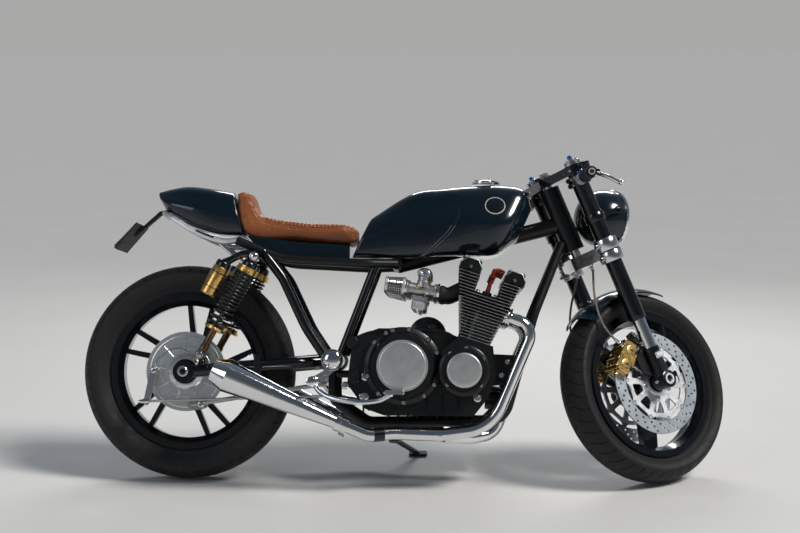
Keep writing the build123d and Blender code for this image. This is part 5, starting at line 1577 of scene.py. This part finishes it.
# Turned housings and mounting plates on the crankcase, with the generator behind the cylinders
CLUTCH_CASE = [
    (0, 0), (0, 118), (16, 118), (20.5, 112), (23, 104), (36, 97), (43, 95.4), (46.4, 93)
]
CRANK_CASE = [(0, 0), (0, 84), (36, 80), (42, 77), (44.5, 73), (46, 67.4), (60, 66.6), (66.4, 64)]
GENERATOR = [(0, 0), (0, 46), (5, 54), (16, 58), (220, 58), (231, 54), (236, 46), (236, 0)]
MOUNT_PLATE = rounded([(925, 396), (1040, 392), (1024, 322), (950, 296), (925, 310)], 10)
housings = Shape()
for side in SIDES:
    out = Y * side
    housings.lathe(CLUTCH + out * 155.5, out, CLUTCH_CASE, 112)
    housings.lathe(CRANK + out * 155.5, out, CRANK_CASE, 96)
    housings.slab((0, side * 96 - 5, 0), 1, Z, MOUNT_PLATE, 10, 1.2)
    for x, z in ((520, 425), (528, 322), (905, 425)):
        housings.boss((x, side * 154, z), out, 19, 12, 32, edge=3, drop=3)
    for a in (math.radians(20 + 35 * k) for k in range(5)):
        lug = Vector((748 + 50 * math.cos(a), side * 112, 450 + 50 * math.sin(a)))
        housings.lathe(lug, out, [(0, 6), (8, 6), (8, 0)], 16)
housings.lathe((748, -118, 450), Y, GENERATOR, 72)
housings.piece("engine_housings", "frame", ["engine_black"])

floor_mesh = bpy.data.meshes.new("floor")
floor_mesh.from_pydata([(x, y, 0) for x, y in circle(300, 96)], [], [list(range(96))])
floor = add_object("floor", floor_mesh)
ground = Nodes("pale_floor")
pale = ground.mix(ground.noise(ground.point(), 2.0), (0.60, 0.59, 0.57), (0.66, 0.65, 0.63))
matt = ground.ramp(ground.noise(ground.point(), 30.0), 0.2, 0.8, 0.6, 0.75)
floor_mesh.materials.append(ground.set(Base_Color=pale, Roughness=matt))

world = bpy.data.worlds.new("studio")
scene.world = world
world.use_nodes = True
tree = world.node_tree
view = tree.nodes.new("ShaderNodeTexCoord")
split = tree.nodes.new("ShaderNodeSeparateXYZ")
tree.links.new(view.outputs["Generated"], split.inputs[0])


def fade(axis, low, high, a, b):
    """A value between a and b along one axis of the view's direction."""
    node = tree.nodes.new("ShaderNodeMapRange")
    node.interpolation_type = "SMOOTHSTEP"
    for key, value in (("From Min", low), ("From Max", high), ("To Min", a), ("To Max", b)):
        node.inputs[key].default_value = value
    tree.links.new(split.outputs[axis], node.inputs["Value"])
    return node.outputs[0]


# The horizon has the lit floor's tone, so that no seam shows
blend = tree.nodes.new("ShaderNodeMix")
blend.data_type = "RGBA"
blend.inputs[6].default_value = (0.399, 0.40, 0.394, 1)
blend.inputs[7].default_value = (0.13, 0.16, 0.20, 1)
tree.links.new(fade("Z", 0.04, 0.32, 0.0, 1.0), blend.inputs[0])
tree.links.new(blend.outputs[2], tree.nodes["Background"].inputs["Color"])
tree.links.new(fade("Y", -0.5, 0.3, 0.5, 1.0), tree.nodes["Background"].inputs["Strength"])


def towards(way):
    """The turn that points a light along a direction."""
    return Vector(way).to_track_quat("-Z", "Y").to_euler()


def soft_box(name, at, aim, size, power, color=(1, 1, 1)):
    light = bpy.data.lights.new(name, "AREA")
    light.shape = "RECTANGLE"
    light.size, light.size_y = size
    light.energy = power
    light.color = color
    box = add_object(name, light)
    box.location = at
    box.rotation_euler = towards(Vector(aim) - Vector(at))


soft_box("key", (3.2, -1.6, 4.2), (0, 0, 0.4), (0.9, 0.9), 60, (1.0, 0.97, 0.92))
soft_box("fill", (-2.6, -2.4, 2.0), (0, 0, 0.5), (1.6, 1.8), 20, (0.86, 0.93, 1.0))
soft_box("rim", (0.4, 3.0, 2.6), (0, 0, 0.6), (2.4, 0.6), 45)
day = bpy.data.lights.new("day", "SUN")
day.energy = 2.35
day.angle = math.radians(18)
day.color = (1.0, 0.98, 0.95)
add_object("day", day).rotation_euler = towards((-0.80, 0.32, -1.0))

# The photo's camera, solved from the ellipses of both wheels: focal length in pixels, place and aim
FOCAL, PHOTO_WIDTH = 1560, 800
cam = bpy.data.cameras.new("camera")
cam.sensor_width = 36.0
cam.lens = FOCAL * cam.sensor_width / PHOTO_WIDTH
camera = add_object("camera", cam)
scene.camera = camera
pitch, yaw = math.radians(8.06), math.radians(-1.86)
eye = Vector((818, -4732, 1343)) * MM + UPRIGHT.to_translation()
ahead = Vector((math.sin(yaw) * math.cos(pitch), math.cos(yaw) * math.cos(pitch), -math.sin(pitch)))
aside = Vector((math.cos(yaw), -math.sin(yaw), 0))
above = aside.cross(ahead)
camera.matrix_world = Matrix((
    (aside.x, above.x, -ahead.x, eye.x),
    (aside.y, above.y, -ahead.y, eye.y),
    (aside.z, above.z, -ahead.z, eye.z),
    (0, 0, 0, 1),
))
scene.view_settings.view_transform = "Standard"
